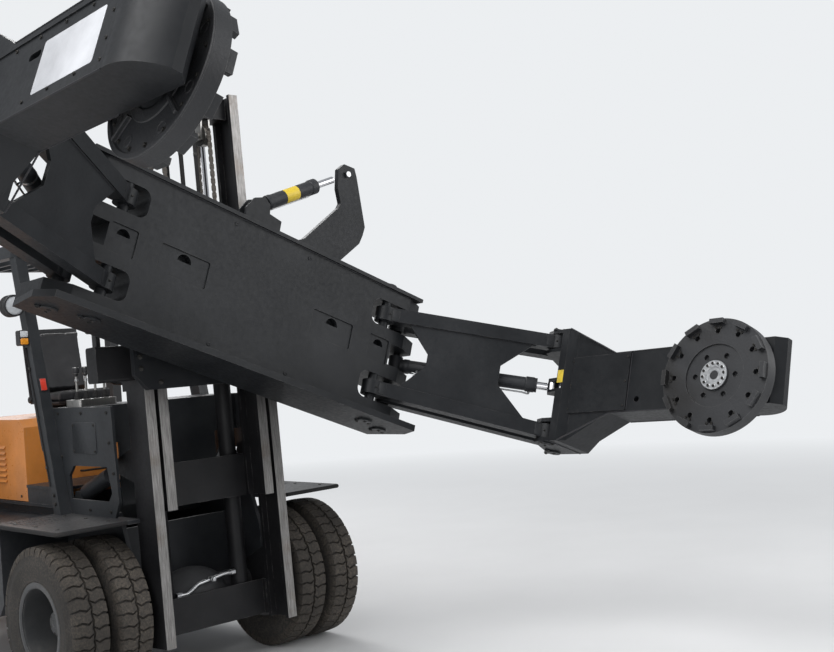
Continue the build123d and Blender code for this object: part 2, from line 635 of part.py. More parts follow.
# Rear axle beam with fork ends, and the steering knuckles between them
FORK_LOW = TYRE_R - 110
FORK_HIGH = TYRE_R + 110
FORK_T = 40.0
FORK_GAP = 2.0
with BuildPart() as rear_axle:
    with BuildSketch(side(TRUCK, KINGPIN_Y - 85)):
        with Locations((-WHEELBASE, TYRE_R)):
            Rectangle(150, 220)
    extrude(amount=2 * (KINGPIN_Y - 85))
    for sign in (-1, 1):
        for low in (FORK_LOW, FORK_HIGH - FORK_T):
            with BuildSketch(plan(TRUCK, low)):
                with Locations((-WHEELBASE, sign * (KINGPIN_Y - 50))):
                    Rectangle(110, 100)
                with Locations((-WHEELBASE, sign * KINGPIN_Y)):
                    Circle(55)
                    Circle(KINGPIN_R + RUN_GAP, mode=Mode.SUBTRACT)
            extrude(amount=FORK_T)
    with BuildSketch(side(TRUCK, 330)):
        with Locations((-WHEELBASE - 130, TYRE_R)):
            Circle(56)
        with Locations((-WHEELBASE - 90, TYRE_R)):
            Rectangle(60, 60)
    extrude(amount=660)
    with BuildSketch(side(TRUCK, ARCH_INNER - 40)):
        with Locations((-WHEELBASE, (TYRE_R + WEIGHT_LOW + 599) / 2)):
            Rectangle(130, WEIGHT_LOW + 599 - 0.3 - TYRE_R)
    extrude(amount=2 * ARCH_INNER - 80)
write(rear_axle.part, "rear_axle")

with BuildPart() as knuckle_left:
    with BuildSketch(plan(TRUCK, FORK_LOW + FORK_T + FORK_GAP)):
        with Locations((-WHEELBASE, KINGPIN_Y)):
            Circle(52)
        with Locations((-WHEELBASE, KINGPIN_Y + 45)):
            Rectangle(92, 70)
    extrude(amount=FORK_HIGH - FORK_LOW - 2 * FORK_T - 2 * FORK_GAP)
    with BuildSketch(plan(TRUCK, FORK_LOW - 6)):
        with Locations((-WHEELBASE, KINGPIN_Y)):
            Circle(KINGPIN_R)
    extrude(amount=FORK_HIGH - FORK_LOW + 12)
    with BuildSketch(Plane(origin=spot(-WHEELBASE, KINGPIN_Y + 75, TYRE_R), x_dir=(1, 0, 0),
                           z_dir=(0, 1, 0))):
        Circle(SPINDLE_R)
    extrude(amount=REAR_HUB_IN + SPINDLE_LEN - KINGPIN_Y - 75)
write(knuckle_left.part, "knuckle_left")
mirrored(knuckle_left.part, MIDDLE, "knuckle_right")

# Steering column and wheel
COLUMN_X = -480.0
COLUMN = Plane(origin=spot(COLUMN_X, 0, COWL_TOP + 45), x_dir=(0, 1, 0), z_dir=(-0.45, 0, 0.893))
with BuildPart() as steering_column:
    with BuildSketch(plan(TRUCK, COWL_TOP)):
        with Locations((COLUMN_X, 0)):
            Circle(62)
    extrude(amount=60)
    with BuildSketch(COLUMN):
        Circle(42)
    extrude(amount=190)
    with BuildSketch(COLUMN.offset(180)):
        Circle(190)
        Circle(166, mode=Mode.SUBTRACT)
        Circle(48)
        with PolarLocations(95, 3):
            Rectangle(150, 26)
    extrude(amount=26)
write(steering_column.part, "steering_column")

LEVER_X = -420.0
LEVER_Y = -430.0
LEVER_PITCH = 70.0
with BuildPart() as control_levers:
    with BuildSketch(plan(TRUCK, COWL_TOP)):
        with Locations((LEVER_X, LEVER_Y)):
            RectangleRounded(200, 300, 30)
    extrude(amount=50)
    with BuildSketch(plan(TRUCK, COWL_TOP + 49)):
        with Locations((LEVER_X, LEVER_Y)):
            with GridLocations(0, LEVER_PITCH, 1, 4):
                Circle(9)
    extrude(amount=190)
    with BuildSketch(plan(TRUCK, COWL_TOP + 230)):
        with Locations((LEVER_X, LEVER_Y)):
            with GridLocations(0, LEVER_PITCH, 1, 4):
                Circle(22)
    extrude(amount=46)
write(control_levers.part, "control_levers")


# Work lamps and turn lamps on the front posts
def post_x(z):
    """Middle of a front post at height z."""
    return POST_FOOT_X + (POST_TOP_X - POST_FOOT_X) * (z - FENDER_TOP) / (ROOF_Z - FENDER_TOP)


LAMP_Z = 2600.0
LAMP_R = 75.0
TURN_LAMP_Z = 2370.0
POST_OUT = POST_Y + POST_W / 2 + 0.3
with BuildPart() as work_lamps:
    with BuildSketch(facing(TRUCK, post_x(LAMP_Z) + 12)):
        with Locations((POST_OUT + 35, LAMP_Z)):
            Rectangle(70, 40)
    extrude(amount=26)
    with BuildSketch(facing(TRUCK, post_x(LAMP_Z) + 20)):
        with Locations((POST_OUT + 95, LAMP_Z)):
            Circle(LAMP_R)
    extrude(amount=85)
    with BuildSketch(facing(TRUCK, post_x(TURN_LAMP_Z) - 20)):
        with Locations((POST_OUT + 35, TURN_LAMP_Z)):
            RectangleRounded(70, 110, 14)
    extrude(amount=60)
    mirror(about=MIDDLE)
write(work_lamps.part, "work_lamps")


# Outer mast: two channels that open inwards, ties behind them, axle hooks and clevises
def channel(half):
    """Section of a left mast channel with its web outwards, drawn as forward and left."""
    with Locations((-CHANNEL_D / 2, half - FLANGE_W / 2)):
        Rectangle(CHANNEL_D, FLANGE_W)
    with Locations((-CHANNEL_D / 2, half - FLANGE_W / 2 - WEB_T / 2)):
        Rectangle(CHANNEL_D - 2 * FLANGE_T, FLANGE_W - WEB_T, mode=Mode.SUBTRACT)


TIE_REAR = -CHANNEL_D - 44
TIE_T = 16.0
TIES = ((OUTER_LOW + 20, 240), (1960, 200), (OUTER_TOP - 400, 280))
STOP_H = OUTER_TOP - 120
BRACKET_H = 2140.0
BRACKET_OUT = OUTER_HALF + 280
PIVOT_F = -(MAST_FACE_X * cos(LEAN) - TYRE_R * sin(LEAN))
PIVOT_H = MAST_FACE_X * sin(LEAN) + TYRE_R * cos(LEAN)
with BuildPart() as outer_mast:
    with BuildSketch(plan(MAST, OUTER_LOW)):
        channel(OUTER_HALF)
    extrude(amount=OUTER_TOP - OUTER_LOW)
    for low, tall in TIES:
        with BuildSketch(side(MAST, OUTER_HALF)):
            with Locations((-CHANNEL_D - 15, low + tall / 2)):
                Rectangle(32, tall)
        extrude(amount=FLANGE_W + 10)
    # hook around the axle casing
    with BuildSketch(side(MAST, OUTER_HALF - 20)):
        with Locations((PIVOT_F, PIVOT_H)):
            Circle(HOOK_OUT_R)
        with BuildLine():
            Polyline((PIVOT_F, PIVOT_H + HOOK_OUT_R - 10), (-CHANNEL_D + 1, PIVOT_H + 260),
                     (-CHANNEL_D + 1, PIVOT_H - 190), (PIVOT_F, PIVOT_H - HOOK_OUT_R + 10),
                     (PIVOT_F, PIVOT_H + HOOK_OUT_R - 10))
        make_face()
        with Locations((PIVOT_F, PIVOT_H)):
            Circle(AXLE_R + RUN_GAP, mode=Mode.SUBTRACT)
    extrude(amount=45)
    # clevis plates for the tilt cylinder
    for low in (TILT_Y - TILT_EYE_T / 2 - EAR_GAP - EAR_T, TILT_Y + TILT_EYE_T / 2 + EAR_GAP):
        with BuildSketch(side(MAST, low + EAR_T)):
            with BuildLine():
                Polyline((-CHANNEL_D + 1, TILT_EYE_H + 120), (TILT_EYE_F - 30, TILT_EYE_H + 50),
                         (TILT_EYE_F - 50, TILT_EYE_H), (TILT_EYE_F - 20, TILT_EYE_H - 50),
                         (-CHANNEL_D + 1, TILT_EYE_H - 110), (-CHANNEL_D + 1, TILT_EYE_H + 120))
            make_face()
        extrude(amount=EAR_T)
    with BuildSketch(side(MAST, BRACKET_OUT)):
        with Locations((-CHANNEL_D / 2 - 20, BRACKET_H)):
            RectangleRounded(130, 230, 20)
    extrude(amount=BRACKET_OUT - OUTER_HALF + 1)
    mirror(about=MIDDLE)
    for low, tall in TIES:
        with BuildSketch(facing(MAST, TIE_REAR)):
            with Locations((0, low + tall / 2)):
                Rectangle(2 * OUTER_HALF, tall)
        extrude(amount=TIE_T)
    # shelf under the lift cylinders and anchors for the chains
    with BuildSketch(plan(MAST, OUTER_LOW + 20)):
        with Locations((LIFT_F + 5, LIFT_Y), (LIFT_F + 5, -LIFT_Y)):
            Rectangle(140, 150)
    extrude(amount=30)
    with BuildSketch(facing(MAST, TIE_REAR + TIE_T - 1)):
        with Locations((CHAIN_Y, 2860), (-CHAIN_Y, 2860)):
            Rectangle(CHAIN_W, 80)
    extrude(amount=33)
write(outer_mast.part, "outer_mast")

LIFT_BASE = OUTER_LOW + 50
LIFT_BORE = 400.0
LIFT_ROD_IN = 430.0
with BuildPart() as lift_barrels:
    with BuildSketch(plan(MAST, LIFT_BASE)):
        with Locations((LIFT_F, LIFT_Y), (LIFT_F, -LIFT_Y)):
            Circle(LIFT_BARREL_R)
    extrude(amount=STOP_H - LIFT_BASE)
    with BuildSketch(plan(MAST, LIFT_BASE + LIFT_BORE)):
        with Locations((LIFT_F, LIFT_Y), (LIFT_F, -LIFT_Y)):
            Circle(LIFT_ROD_R + RUN_GAP)
    extrude(amount=STOP_H - LIFT_BASE, mode=Mode.SUBTRACT)
write(lift_barrels.part, "lift_barrels")

# Inner mast: the channels that rise, a low tie behind them and a head bar
HEAD_LOW = INNER_TOP - 170
HEAD_H = 150.0
with BuildPart() as inner_mast:
    with BuildSketch(plan(MAST, INNER_LOW)):
        channel(INNER_HALF)
    extrude(amount=INNER_TOP - INNER_LOW)
    with BuildSketch(side(MAST, OUTER_HALF - WEB_T - 3)):
        with Locations((-CHANNEL_D / 2, INNER_LOW + ROLLER_R + 10)):
            Circle(ROLLER_R)
    extrude(amount=OUTER_HALF - WEB_T - 3 - INNER_HALF + 1)
    mirror(about=MIDDLE)
    with BuildSketch(facing(MAST, -CHANNEL_D - 22)):
        with Locations((0, INNER_LOW + 145)):
            RectangleRounded(2 * INNER_HALF, 290, 60)
    extrude(amount=24)
    with BuildSketch(facing(MAST, -CHANNEL_D)):
        with Locations((0, HEAD_LOW + HEAD_H / 2)):
            Rectangle(2 * (INNER_HALF - FLANGE_W) + 4, HEAD_H)
    extrude(amount=CHANNEL_D - 60)
    with BuildSketch(plan(MAST, HEAD_LOW + 80)):
        with Locations(((LIFT_F - 50 - CHANNEL_D + 1) / 2, LIFT_Y), ((LIFT_F - 50 - CHANNEL_D + 1) / 2, -LIFT_Y)):
            Rectangle(-LIFT_F + 50 - CHANNEL_D + 1, 104)
    extrude(amount=50)
write(inner_mast.part, "inner_mast")

with BuildPart() as lift_rods:
    with BuildSketch(plan(MAST, LIFT_BASE + LIFT_ROD_IN + RAISED)):
        with Locations((LIFT_F, LIFT_Y), (LIFT_F, -LIFT_Y)):
            Circle(LIFT_ROD_R)
    extrude(amount=HEAD_LOW + 80 - LIFT_BASE - LIFT_ROD_IN - RAISED)
write(lift_rods.part, "lift_rods")

PULLEY_F = -130.0
PULLEY_H = HEAD_LOW - 110
SHAFT_R = 20.0
CHEEK_T = 12.0
with BuildPart() as mast_pulleys:
    for y, thick in ((CHAIN_Y, 46), (-CHAIN_Y, 46), (HOSE_Y, 40), (-HOSE_Y, 40)):
        with BuildSketch(side(MAST, y + thick / 2)):
            with Locations((PULLEY_F, PULLEY_H)):
                Circle(PULLEY_R)
        extrude(amount=thick)
    with BuildSketch(side(MAST, CHAIN_Y + 45)):
        with Locations((PULLEY_F, PULLEY_H)):
            Circle(SHAFT_R)
    extrude(amount=2 * (CHAIN_Y + 45))
    for y in (-CHAIN_Y - 32, -CHAIN_Y + 32, CHAIN_Y - 32, CHAIN_Y + 32):
        with BuildSketch(side(MAST, y + CHEEK_T / 2)):
            with BuildLine():
                Polyline((PULLEY_F - 40, PULLEY_H - 35), (PULLEY_F + 40, PULLEY_H - 35),
                         (PULLEY_F + 50, HEAD_LOW), (PULLEY_F - 60, HEAD_LOW),
                         (PULLEY_F - 40, PULLEY_H - 35))
            make_face()
        extrude(amount=CHEEK_T)
write(mast_pulleys.part, "mast_pulleys")

CHAIN_END = ROTOR_H - 150
CHAIN_BACK_END = 2900.0
with BuildPart() as lift_chains:
    with BuildSketch(side(MAST, CHAIN_Y + CHAIN_W / 2)):
        with Locations((PULLEY_F, PULLEY_H)):
            Circle(PULLEY_R + CHAIN_T)
            Circle(PULLEY_R, mode=Mode.SUBTRACT)
        with Locations((PULLEY_F, PULLEY_H - PULLEY_R - CHAIN_T)):
            Rectangle(3 * PULLEY_R, 2 * PULLEY_R + 2 * CHAIN_T, mode=Mode.SUBTRACT)
        with Locations((PULLEY_F + PULLEY_R + CHAIN_T / 2, (PULLEY_H + CHAIN_END) / 2)):
            Rectangle(CHAIN_T, PULLEY_H - CHAIN_END)
        with Locations((PULLEY_F - PULLEY_R - CHAIN_T / 2, (PULLEY_H + CHAIN_BACK_END) / 2)):
            Rectangle(CHAIN_T, PULLEY_H - CHAIN_BACK_END)
    extrude(amount=CHAIN_W)
    mirror(about=MIDDLE)
write(lift_chains.part, "lift_chains")

HOSE_RING_R = PULLEY_R + HOSE_R
with BuildPart() as mast_hoses:
    for offset, low in ((HOSE_RING_R, CHAIN_END), (-HOSE_RING_R, CHAIN_BACK_END)):
        with BuildSketch(plan(MAST, low)):
            with Locations((PULLEY_F + offset, HOSE_Y)):
                Circle(HOSE_R)
        extrude(amount=PULLEY_H - low)
    with BuildSketch(plan(MAST, PULLEY_H)):
        with Locations((PULLEY_F + HOSE_RING_R, HOSE_Y)):
            Circle(HOSE_R)
    revolve(axis=Axis(MAST.from_local_coords((PULLEY_F, 0, PULLEY_H)), -MAST.y_dir), revolution_arc=180)
    mirror(about=MIDDLE)
write(mast_hoses.part, "mast_hoses")

# Lamps on stalks at both ends of the mast's side brackets
STALK_Y = OUTER_HALF + 235
with BuildPart() as mast_lamps:
    with BuildSketch(plan(MAST, BRACKET_H + 115.3)):
        with Locations((-CHANNEL_D / 2 - 20, STALK_Y)):
            Rectangle(50, 30)
    extrude(amount=220)
    with BuildSketch(facing(MAST, -CHANNEL_D / 2)):
        with Locations((STALK_Y, 2400)):
            RectangleRounded(170, 120, 20)
    extrude(amount=60)
    mirror(about=MIDDLE)
write(mast_lamps.part, "mast_lamps")

# Tilt cylinders: barrels pinned in the chassis, rod eyes in the mast's clevises
TILT_EYE = MAST.from_local_coords((TILT_EYE_F, TILT_Y, TILT_EYE_H))
TILT_FOOT = Vector(*spot(TILT_FOOT_X, TILT_Y, TILT_FOOT_Z))
TILT_LINE = (TILT_EYE - TILT_FOOT).normalized()
TILT_L = (TILT_EYE - TILT_FOOT).length
TILT = Plane(origin=TILT_FOOT, x_dir=(0, 1, 0), z_dir=TILT_LINE)
with BuildPart() as tilt_barrels:
    with BuildSketch(TILT.offset(TILT_BARREL_START)):
        Circle(TILT_BARREL_R)
    extrude(amount=TILT_BARREL_END - TILT_BARREL_START)
    with BuildSketch(TILT.offset(TILT_EYE_R - 10)):
        Rectangle(TILT_EYE_T, 50)
    extrude(amount=TILT_BARREL_START - TILT_EYE_R + 11)
    with BuildSketch(Plane(origin=TILT_FOOT - Vector(0, TILT_EYE_T / 2, 0), x_dir=(1, 0, 0),
                           z_dir=(0, 1, 0))):
        Circle(TILT_EYE_R)
    extrude(amount=TILT_EYE_T)
    with BuildSketch(Plane(origin=TILT_FOOT - Vector(0, TILT_BARREL_R + 1, 0), x_dir=(1, 0, 0),
                           z_dir=(0, 1, 0))):
        Circle(TILT_PIN_R + RUN_GAP)
    extrude(amount=2 * TILT_BARREL_R + 2, mode=Mode.SUBTRACT)
    with BuildSketch(TILT.offset(TILT_BARREL_START + 60)):
        Circle(TILT_ROD_R + RUN_GAP)
    extrude(amount=TILT_BARREL_END, mode=Mode.SUBTRACT)
    mirror(about=MIDDLE)
write(tilt_barrels.part, "tilt_barrels")

with BuildPart() as tilt_rods:
    with BuildSketch(TILT.offset(TILT_ROD_START)):
        Circle(TILT_ROD_R)
    extrude(amount=TILT_L - TILT_ROD_START - TILT_EYE_R - 45)
    with BuildSketch(TILT.offset(TILT_L - TILT_EYE_R - 50)):
        Rectangle(TILT_EYE_T, 44)
    extrude(amount=60)
    with BuildSketch(Plane(origin=TILT_EYE - Vector(0, TILT_EYE_T / 2, 0), x_dir=(1, 0, 0),
                           z_dir=(0, 1, 0))):
        Circle(TILT_EYE_R)
    extrude(amount=TILT_EYE_T)
    mirror(about=MIDDLE)
write(tilt_rods.part, "tilt_rods")

# Carriage: a plate in front of the channels, side plates with rollers inside them
with BuildPart() as carriage:
    with BuildSketch(side(MAST, 340)):
        with Locations((-75, ROTOR_H - 60)):
            RectangleRounded(200, 740, 30)
    extrude(amount=30)
    with BuildSketch(side(MAST, INNER_HALF - WEB_T - 3)):
        with Locations((-CHANNEL_D / 2, ROTOR_H - 330), (-CHANNEL_D / 2, ROTOR_H + 200)):
            Circle(ROLLER_R)
    extrude(amount=INNER_HALF - WEB_T - 3 - 339)
    with BuildSketch(side(MAST, CHAIN_Y + 30)):
        with Locations((-7, ROTOR_H - 180)):
            Rectangle(56, 110)
    extrude(amount=60)
    mirror(about=MIDDLE)
    with BuildSketch(facing(MAST, 20)):
        with BuildLine():
            Polyline((-610, ROTOR_H + 330), (610, ROTOR_H + 330), (610, ROTOR_H - 400),
                     (520, ROTOR_H - 500), (-520, ROTOR_H - 500), (-610, ROTOR_H - 400),
                     (-610, ROTOR_H + 330))
        make_face()
    extrude(amount=45)
write(carriage.part, "carriage")

# Rotator: a drum on the carriage, and the turning flange that carries the beam
with BuildPart() as rotator_drum:
    with BuildSketch(facing(MAST, 65)):
        with Locations((0, ROTOR_H)):
            Circle(DRUM_R)
    extrude(amount=ROTOR_BACK - RUN_GAP - 65)
write(rotator_drum.part, "rotator_drum")

# Beam of the handler: a deep box whose ends are slotted for the links
SLOT_W = (SLOT_LOW + SLOT_HIGH) / 2
PANEL_SUNK = 8.0
PANEL_U = 590.0
PANEL_L = 350.0
PANEL_H = 176.0
END_PANEL_U = 1014.0
END_PANEL_L = 180.0
MOON_W = 26.0
MOON_R = 50.0
END_MOON_R = 44.0
MOON_DEEP = 60.0
with BuildPart() as handler_beam:
    with BuildSketch(plan(HANDLER, -BEAM_HALF_H)):
        with BuildLine():
            Polyline((BEAM_BACK, -BEAM_END), (BEAM_FRONT - 70, -BEAM_END), (BEAM_FRONT, -BEAM_NOSE),
                     (BEAM_FRONT, BEAM_NOSE), (BEAM_FRONT - 70, BEAM_END), (BEAM_BACK, BEAM_END),
                     (BEAM_BACK, -BEAM_END))
        make_face()
    extrude(amount=2 * BEAM_HALF_H)
    with BuildSketch(plan(HANDLER, -BEAM_HALF_H)):
        with BuildLine():
            Polyline((BEAM_BACK, -BEAM_END), (LIP_FRONT - 160, -LIP_HALF), (LIP_FRONT, -LIP_HALF + 60),
                     (LIP_FRONT, LIP_HALF - 60), (LIP_FRONT - 160, LIP_HALF), (BEAM_BACK, BEAM_END),
                     (BEAM_BACK, -BEAM_END))
        make_face()
    extrude(amount=-LIP_T)
    with BuildSketch(plan(HANDLER, BEAM_HALF_H)):
        with Locations(((BEAM_BACK + BEAM_FRONT + 20) / 2, 0)):
            Rectangle(BEAM_FRONT + 20 - BEAM_BACK, 2 * BEAM_NOSE + 200)
    extrude(amount=SKIN_T)
    with BuildSketch(facing(HANDLER, BEAM_BACK - 1)):
        # slots for the links, right through from front to back
        with GridLocations(2 * SLOT_IN + 600, 2 * SLOT_W, 2, 2):
            RectangleRounded(600, SLOT_HIGH - SLOT_LOW, 60)
        # open space for each swing cylinder
        with GridLocations(2 * CYL_POCKET_IN + 400, 0, 2, 1):
            Rectangle(400, CYL_POCKET_H)
    extrude(amount=LIP_FRONT - BEAM_BACK, mode=Mode.SUBTRACT)
    # sunk panels in the front plate, each with a hand hole shaped like a half moon
    with BuildSketch(facing(HANDLER, BEAM_FRONT - PANEL_SUNK)):
        with GridLocations(2 * PANEL_U, 0, 2, 1):
            RectangleRounded(PANEL_L, PANEL_H, 14)
        with GridLocations(2 * END_PANEL_U, 0, 2, 1):
            RectangleRounded(END_PANEL_L, PANEL_H, 14)
    extrude(amount=PANEL_SUNK + 1, mode=Mode.SUBTRACT)
    with BuildSketch(facing(HANDLER, BEAM_FRONT - MOON_DEEP)):
        for u, r in ((-PANEL_U, MOON_R), (PANEL_U, MOON_R), (-END_PANEL_U, END_MOON_R),
                     (END_PANEL_U, END_MOON_R)):
            with Locations((u, MOON_W)):
                Circle(r)
            with Locations((u, MOON_W - r / 2 - 1)):
                Rectangle(2 * r + 2, r + 2, mode=Mode.SUBTRACT)
    extrude(amount=MOON_DEEP + 1, mode=Mode.SUBTRACT)
    # shallow fields between the ribs of the back plate
    with BuildSketch(facing(HANDLER, BEAM_BACK - 1)):
        with GridLocations(ROTOR_R + SLOT_IN + 10, BEAM_HALF_H + 5, 2, 2):
            RectangleRounded(SLOT_IN - ROTOR_R - 60, BEAM_HALF_H - 60, 20)
    extrude(amount=SKIN_T + 1, mode=Mode.SUBTRACT)
    # well for the stay hook, open at the top
    with BuildSketch(plan(HANDLER, HOOK_W - 65)):
        with Locations((HOOK_F, 425)):
            Rectangle(HOOK_T + 20, 670)
    extrude(amount=200, mode=Mode.SUBTRACT)
    # turning flange
    with BuildSketch(facing(HANDLER, ROTOR_BACK)):
        Circle(ROTOR_R)
        with PolarLocations(ROTOR_BOLT_R, 24):
            Circle(11, mode=Mode.SUBTRACT)
    extrude(amount=BEAM_BACK - ROTOR_BACK)
    # hinge pins of the links and of the swing cylinders
    for u in (-1, 1):
        for w in (-1, 1):
            with BuildSketch(plan(HANDLER, w * SLOT_W - 93)):
                with Locations((PIN_F, u * PIN_U), (PIN_F + REAR_PIN_F, u * (PIN_U + REAR_PIN_U))):
                    Circle(PIN_R)
            extrude(amount=186)
        with BuildSketch(plan(HANDLER, -CYL_POCKET_H / 2 - 1)):
            with Locations((CYL_F, u * CYL_U)):
                Circle(CYL_PIN_R)
        extrude(amount=CYL_POCKET_H + 2)
    # foot plates of the stay cylinder and the pins of cylinder and hook
    for f in (HOOK_F - HOOK_T / 2 - 28, HOOK_F + HOOK_T / 2 + 8):
        with BuildSketch(facing(HANDLER, f)):
            with BuildLine():
                Polyline((-134, BEAM_HALF_H + SKIN_T - 1), (-156, 614), (-108, 700), (-33, 735), (20, 700),
                         (31, 640), (133, 626), (140, BEAM_HALF_H + SKIN_T - 1),
                         (-134, BEAM_HALF_H + SKIN_T - 1))
            make_face()
        extrude(amount=20)
    with BuildSketch(facing(HANDLER, HOOK_F - HOOK_T / 2 - 11)):
        with Locations(HOOK_FOOT):
            Circle(18)
        with Locations((HOOK_U, HOOK_W)):
            Circle(CYL_PIN_R)
    extrude(amount=HOOK_T + 22)
write(handler_beam.part, "handler_beam")

# Stay hook on top of the beam, and the short cylinder that works it
with BuildPart() as stay_hook:
    with BuildSketch(facing(HANDLER, HOOK_F - HOOK_T / 2)):
        with BuildLine():
            Polyline((232, 410), (200, 500), (360, 600), (590, 930), (600, 970), (550, 1060), (520, 1200),
                     (560, 1255), (655, 1264), (690, 1210), (850, 885), (845, 820), (830, 750), (660, 520),
                     (358, 362), (232, 410))
        make_face()
        with Locations((HOOK_U, HOOK_W)):
            Circle(62)
            Circle(CYL_PIN_R + RUN_GAP, mode=Mode.SUBTRACT)
    extrude(amount=HOOK_T)
    with BuildSketch(facing(HANDLER, HOOK_F - HOOK_T / 2 - 16)):
        with Locations(HOOK_PIN):
            Circle(16)
    extrude(amount=HOOK_T + 32)
write(stay_hook.part, "stay_hook")

STAY_FROM = HANDLER.from_local_coords((HOOK_F, HOOK_FOOT[0], HOOK_FOOT[1]))
STAY_TO = HANDLER.from_local_coords((HOOK_F, HOOK_PIN[0], HOOK_PIN[1]))
STAY_LINE = (STAY_TO - STAY_FROM).normalized()
STAY_L = (STAY_TO - STAY_FROM).length
STAY = Plane(origin=STAY_FROM, x_dir=STAY_LINE, z_dir=HANDLER.x_dir)
STAY_AXIS = Plane(origin=STAY_FROM, x_dir=HANDLER.x_dir, z_dir=STAY_LINE)
STAY_R = 48.0
STAY_ROD_R = 24.0
with BuildPart() as stay_barrel:
    with BuildSketch(STAY_AXIS.offset(60)):
        Circle(STAY_R)
    extrude(amount=HOOK_BARREL_END - 60)
    with BuildSketch(STAY.offset(-HOOK_T / 2)):
        Circle(42)
        with Locations((40, 0)):
            Rectangle(60, 60)
        Circle(19, mode=Mode.SUBTRACT)
    extrude(amount=HOOK_T)
    with BuildSketch(STAY_AXIS.offset(230)):
        Circle(STAY_ROD_R + RUN_GAP)
    extrude(amount=HOOK_BARREL_END, mode=Mode.SUBTRACT)
write(stay_barrel.part, "stay_barrel")

with BuildPart() as stay_rod:
    with BuildSketch(STAY_AXIS.offset(HOOK_ROD_START)):
        Circle(STAY_ROD_R)
    extrude(amount=STAY_L - 105 - HOOK_ROD_START)
    for low in (-HOOK_T / 2 - 16, HOOK_T / 2 + 4):
        with BuildSketch(STAY.offset(low)):
            with Locations((STAY_L, 0)):
                Circle(34)
            with Locations((STAY_L - 65, 0)):
                Rectangle(130, 60)
            with Locations((STAY_L, 0)):
                Circle(24, mode=Mode.SUBTRACT)
        extrude(amount=12)
    with BuildSketch(STAY.offset(-HOOK_T / 2 - 16)):
        with Locations((STAY_L - 115, 0)):
            Rectangle(30, 60)
    extrude(amount=HOOK_T + 32)
write(stay_rod.part, "stay_rod")

# Links of the left arm: two bars with bosses, and the notched web of the front link
LINK_DIR = HANDLER.x_dir * cos(OPEN) + HANDLER.y_dir * sin(OPEN)
WEB_OFFSET = 14.0
LINK_WEB_T = 20.0


def link_frame(f, u):
    """Frame at a link's hinge on the beam, with its forward axis along the link."""
    return Plane(origin=HANDLER.from_local_coords((f, u, 0)), x_dir=LINK_DIR, z_dir=HANDLER.z_dir)


def link(frame):
    """The two bars of a link with a bored boss at each end."""
    with BuildPart() as bars:
        for w in (-1, 1):
            with BuildSketch(side(frame, BAR_D / 2)):
                with BuildLine():
                    Polyline((0, w * (BODY_PIN_W - BAR_H / 2)), (LINK_L, w * (ARM_PIN_W - BAR_H / 2)),
                             (LINK_L, w * (ARM_PIN_W + BAR_H / 2)), (0, w * (BODY_PIN_W + BAR_H / 2)),
                             (0, w * (BODY_PIN_W - BAR_H / 2)))
                make_face()
            extrude(amount=BAR_D)
            for s, at in ((0, BODY_PIN_W), (LINK_L, ARM_PIN_W)):
                with BuildSketch(plan(frame, w * at - BAR_H / 2)):
                    with Locations((s, 0)):
                        Circle(BOSS_R)
                extrude(amount=BAR_H)
                with BuildSketch(plan(frame, w * at - BAR_H)):
                    with Locations((s, 0)):
                        Circle(PIN_R + PIN_GAP)
                extrude(amount=2 * BAR_H, mode=Mode.SUBTRACT)
    return bars.part


LINK = link_frame(PIN_F, PIN_U)
REAR_LINK = link_frame(PIN_F + REAR_PIN_F, PIN_U + REAR_PIN_U)
with BuildPart() as link_left:
    add(link(LINK))
    with BuildSketch(side(LINK, -WEB_OFFSET)):
        with BuildLine():
            Polyline((170, BODY_PIN_W - BAR_H / 2 + 25), (345, 45), (345, -45),
                     (170, -BODY_PIN_W + BAR_H / 2 - 25), (LINK_L - 160, -ARM_PIN_W + BAR_H / 2 - 15),
                     (LINK_L - 400, -70), (LINK_L - 400, 70), (LINK_L - 160, ARM_PIN_W - BAR_H / 2 + 15),
                     (170, BODY_PIN_W - BAR_H / 2 + 25))
        make_face()
    extrude(amount=LINK_WEB_T)
write(link_left.part, "link_left")
mirrored(link_left.part, HANDLER_MIDDLE, "link_right")

with BuildPart() as rear_link_left:
    add(link(REAR_LINK))
write(rear_link_left.part, "rear_link_left")
mirrored(rear_link_left.part, HANDLER_MIDDLE, "rear_link_right")

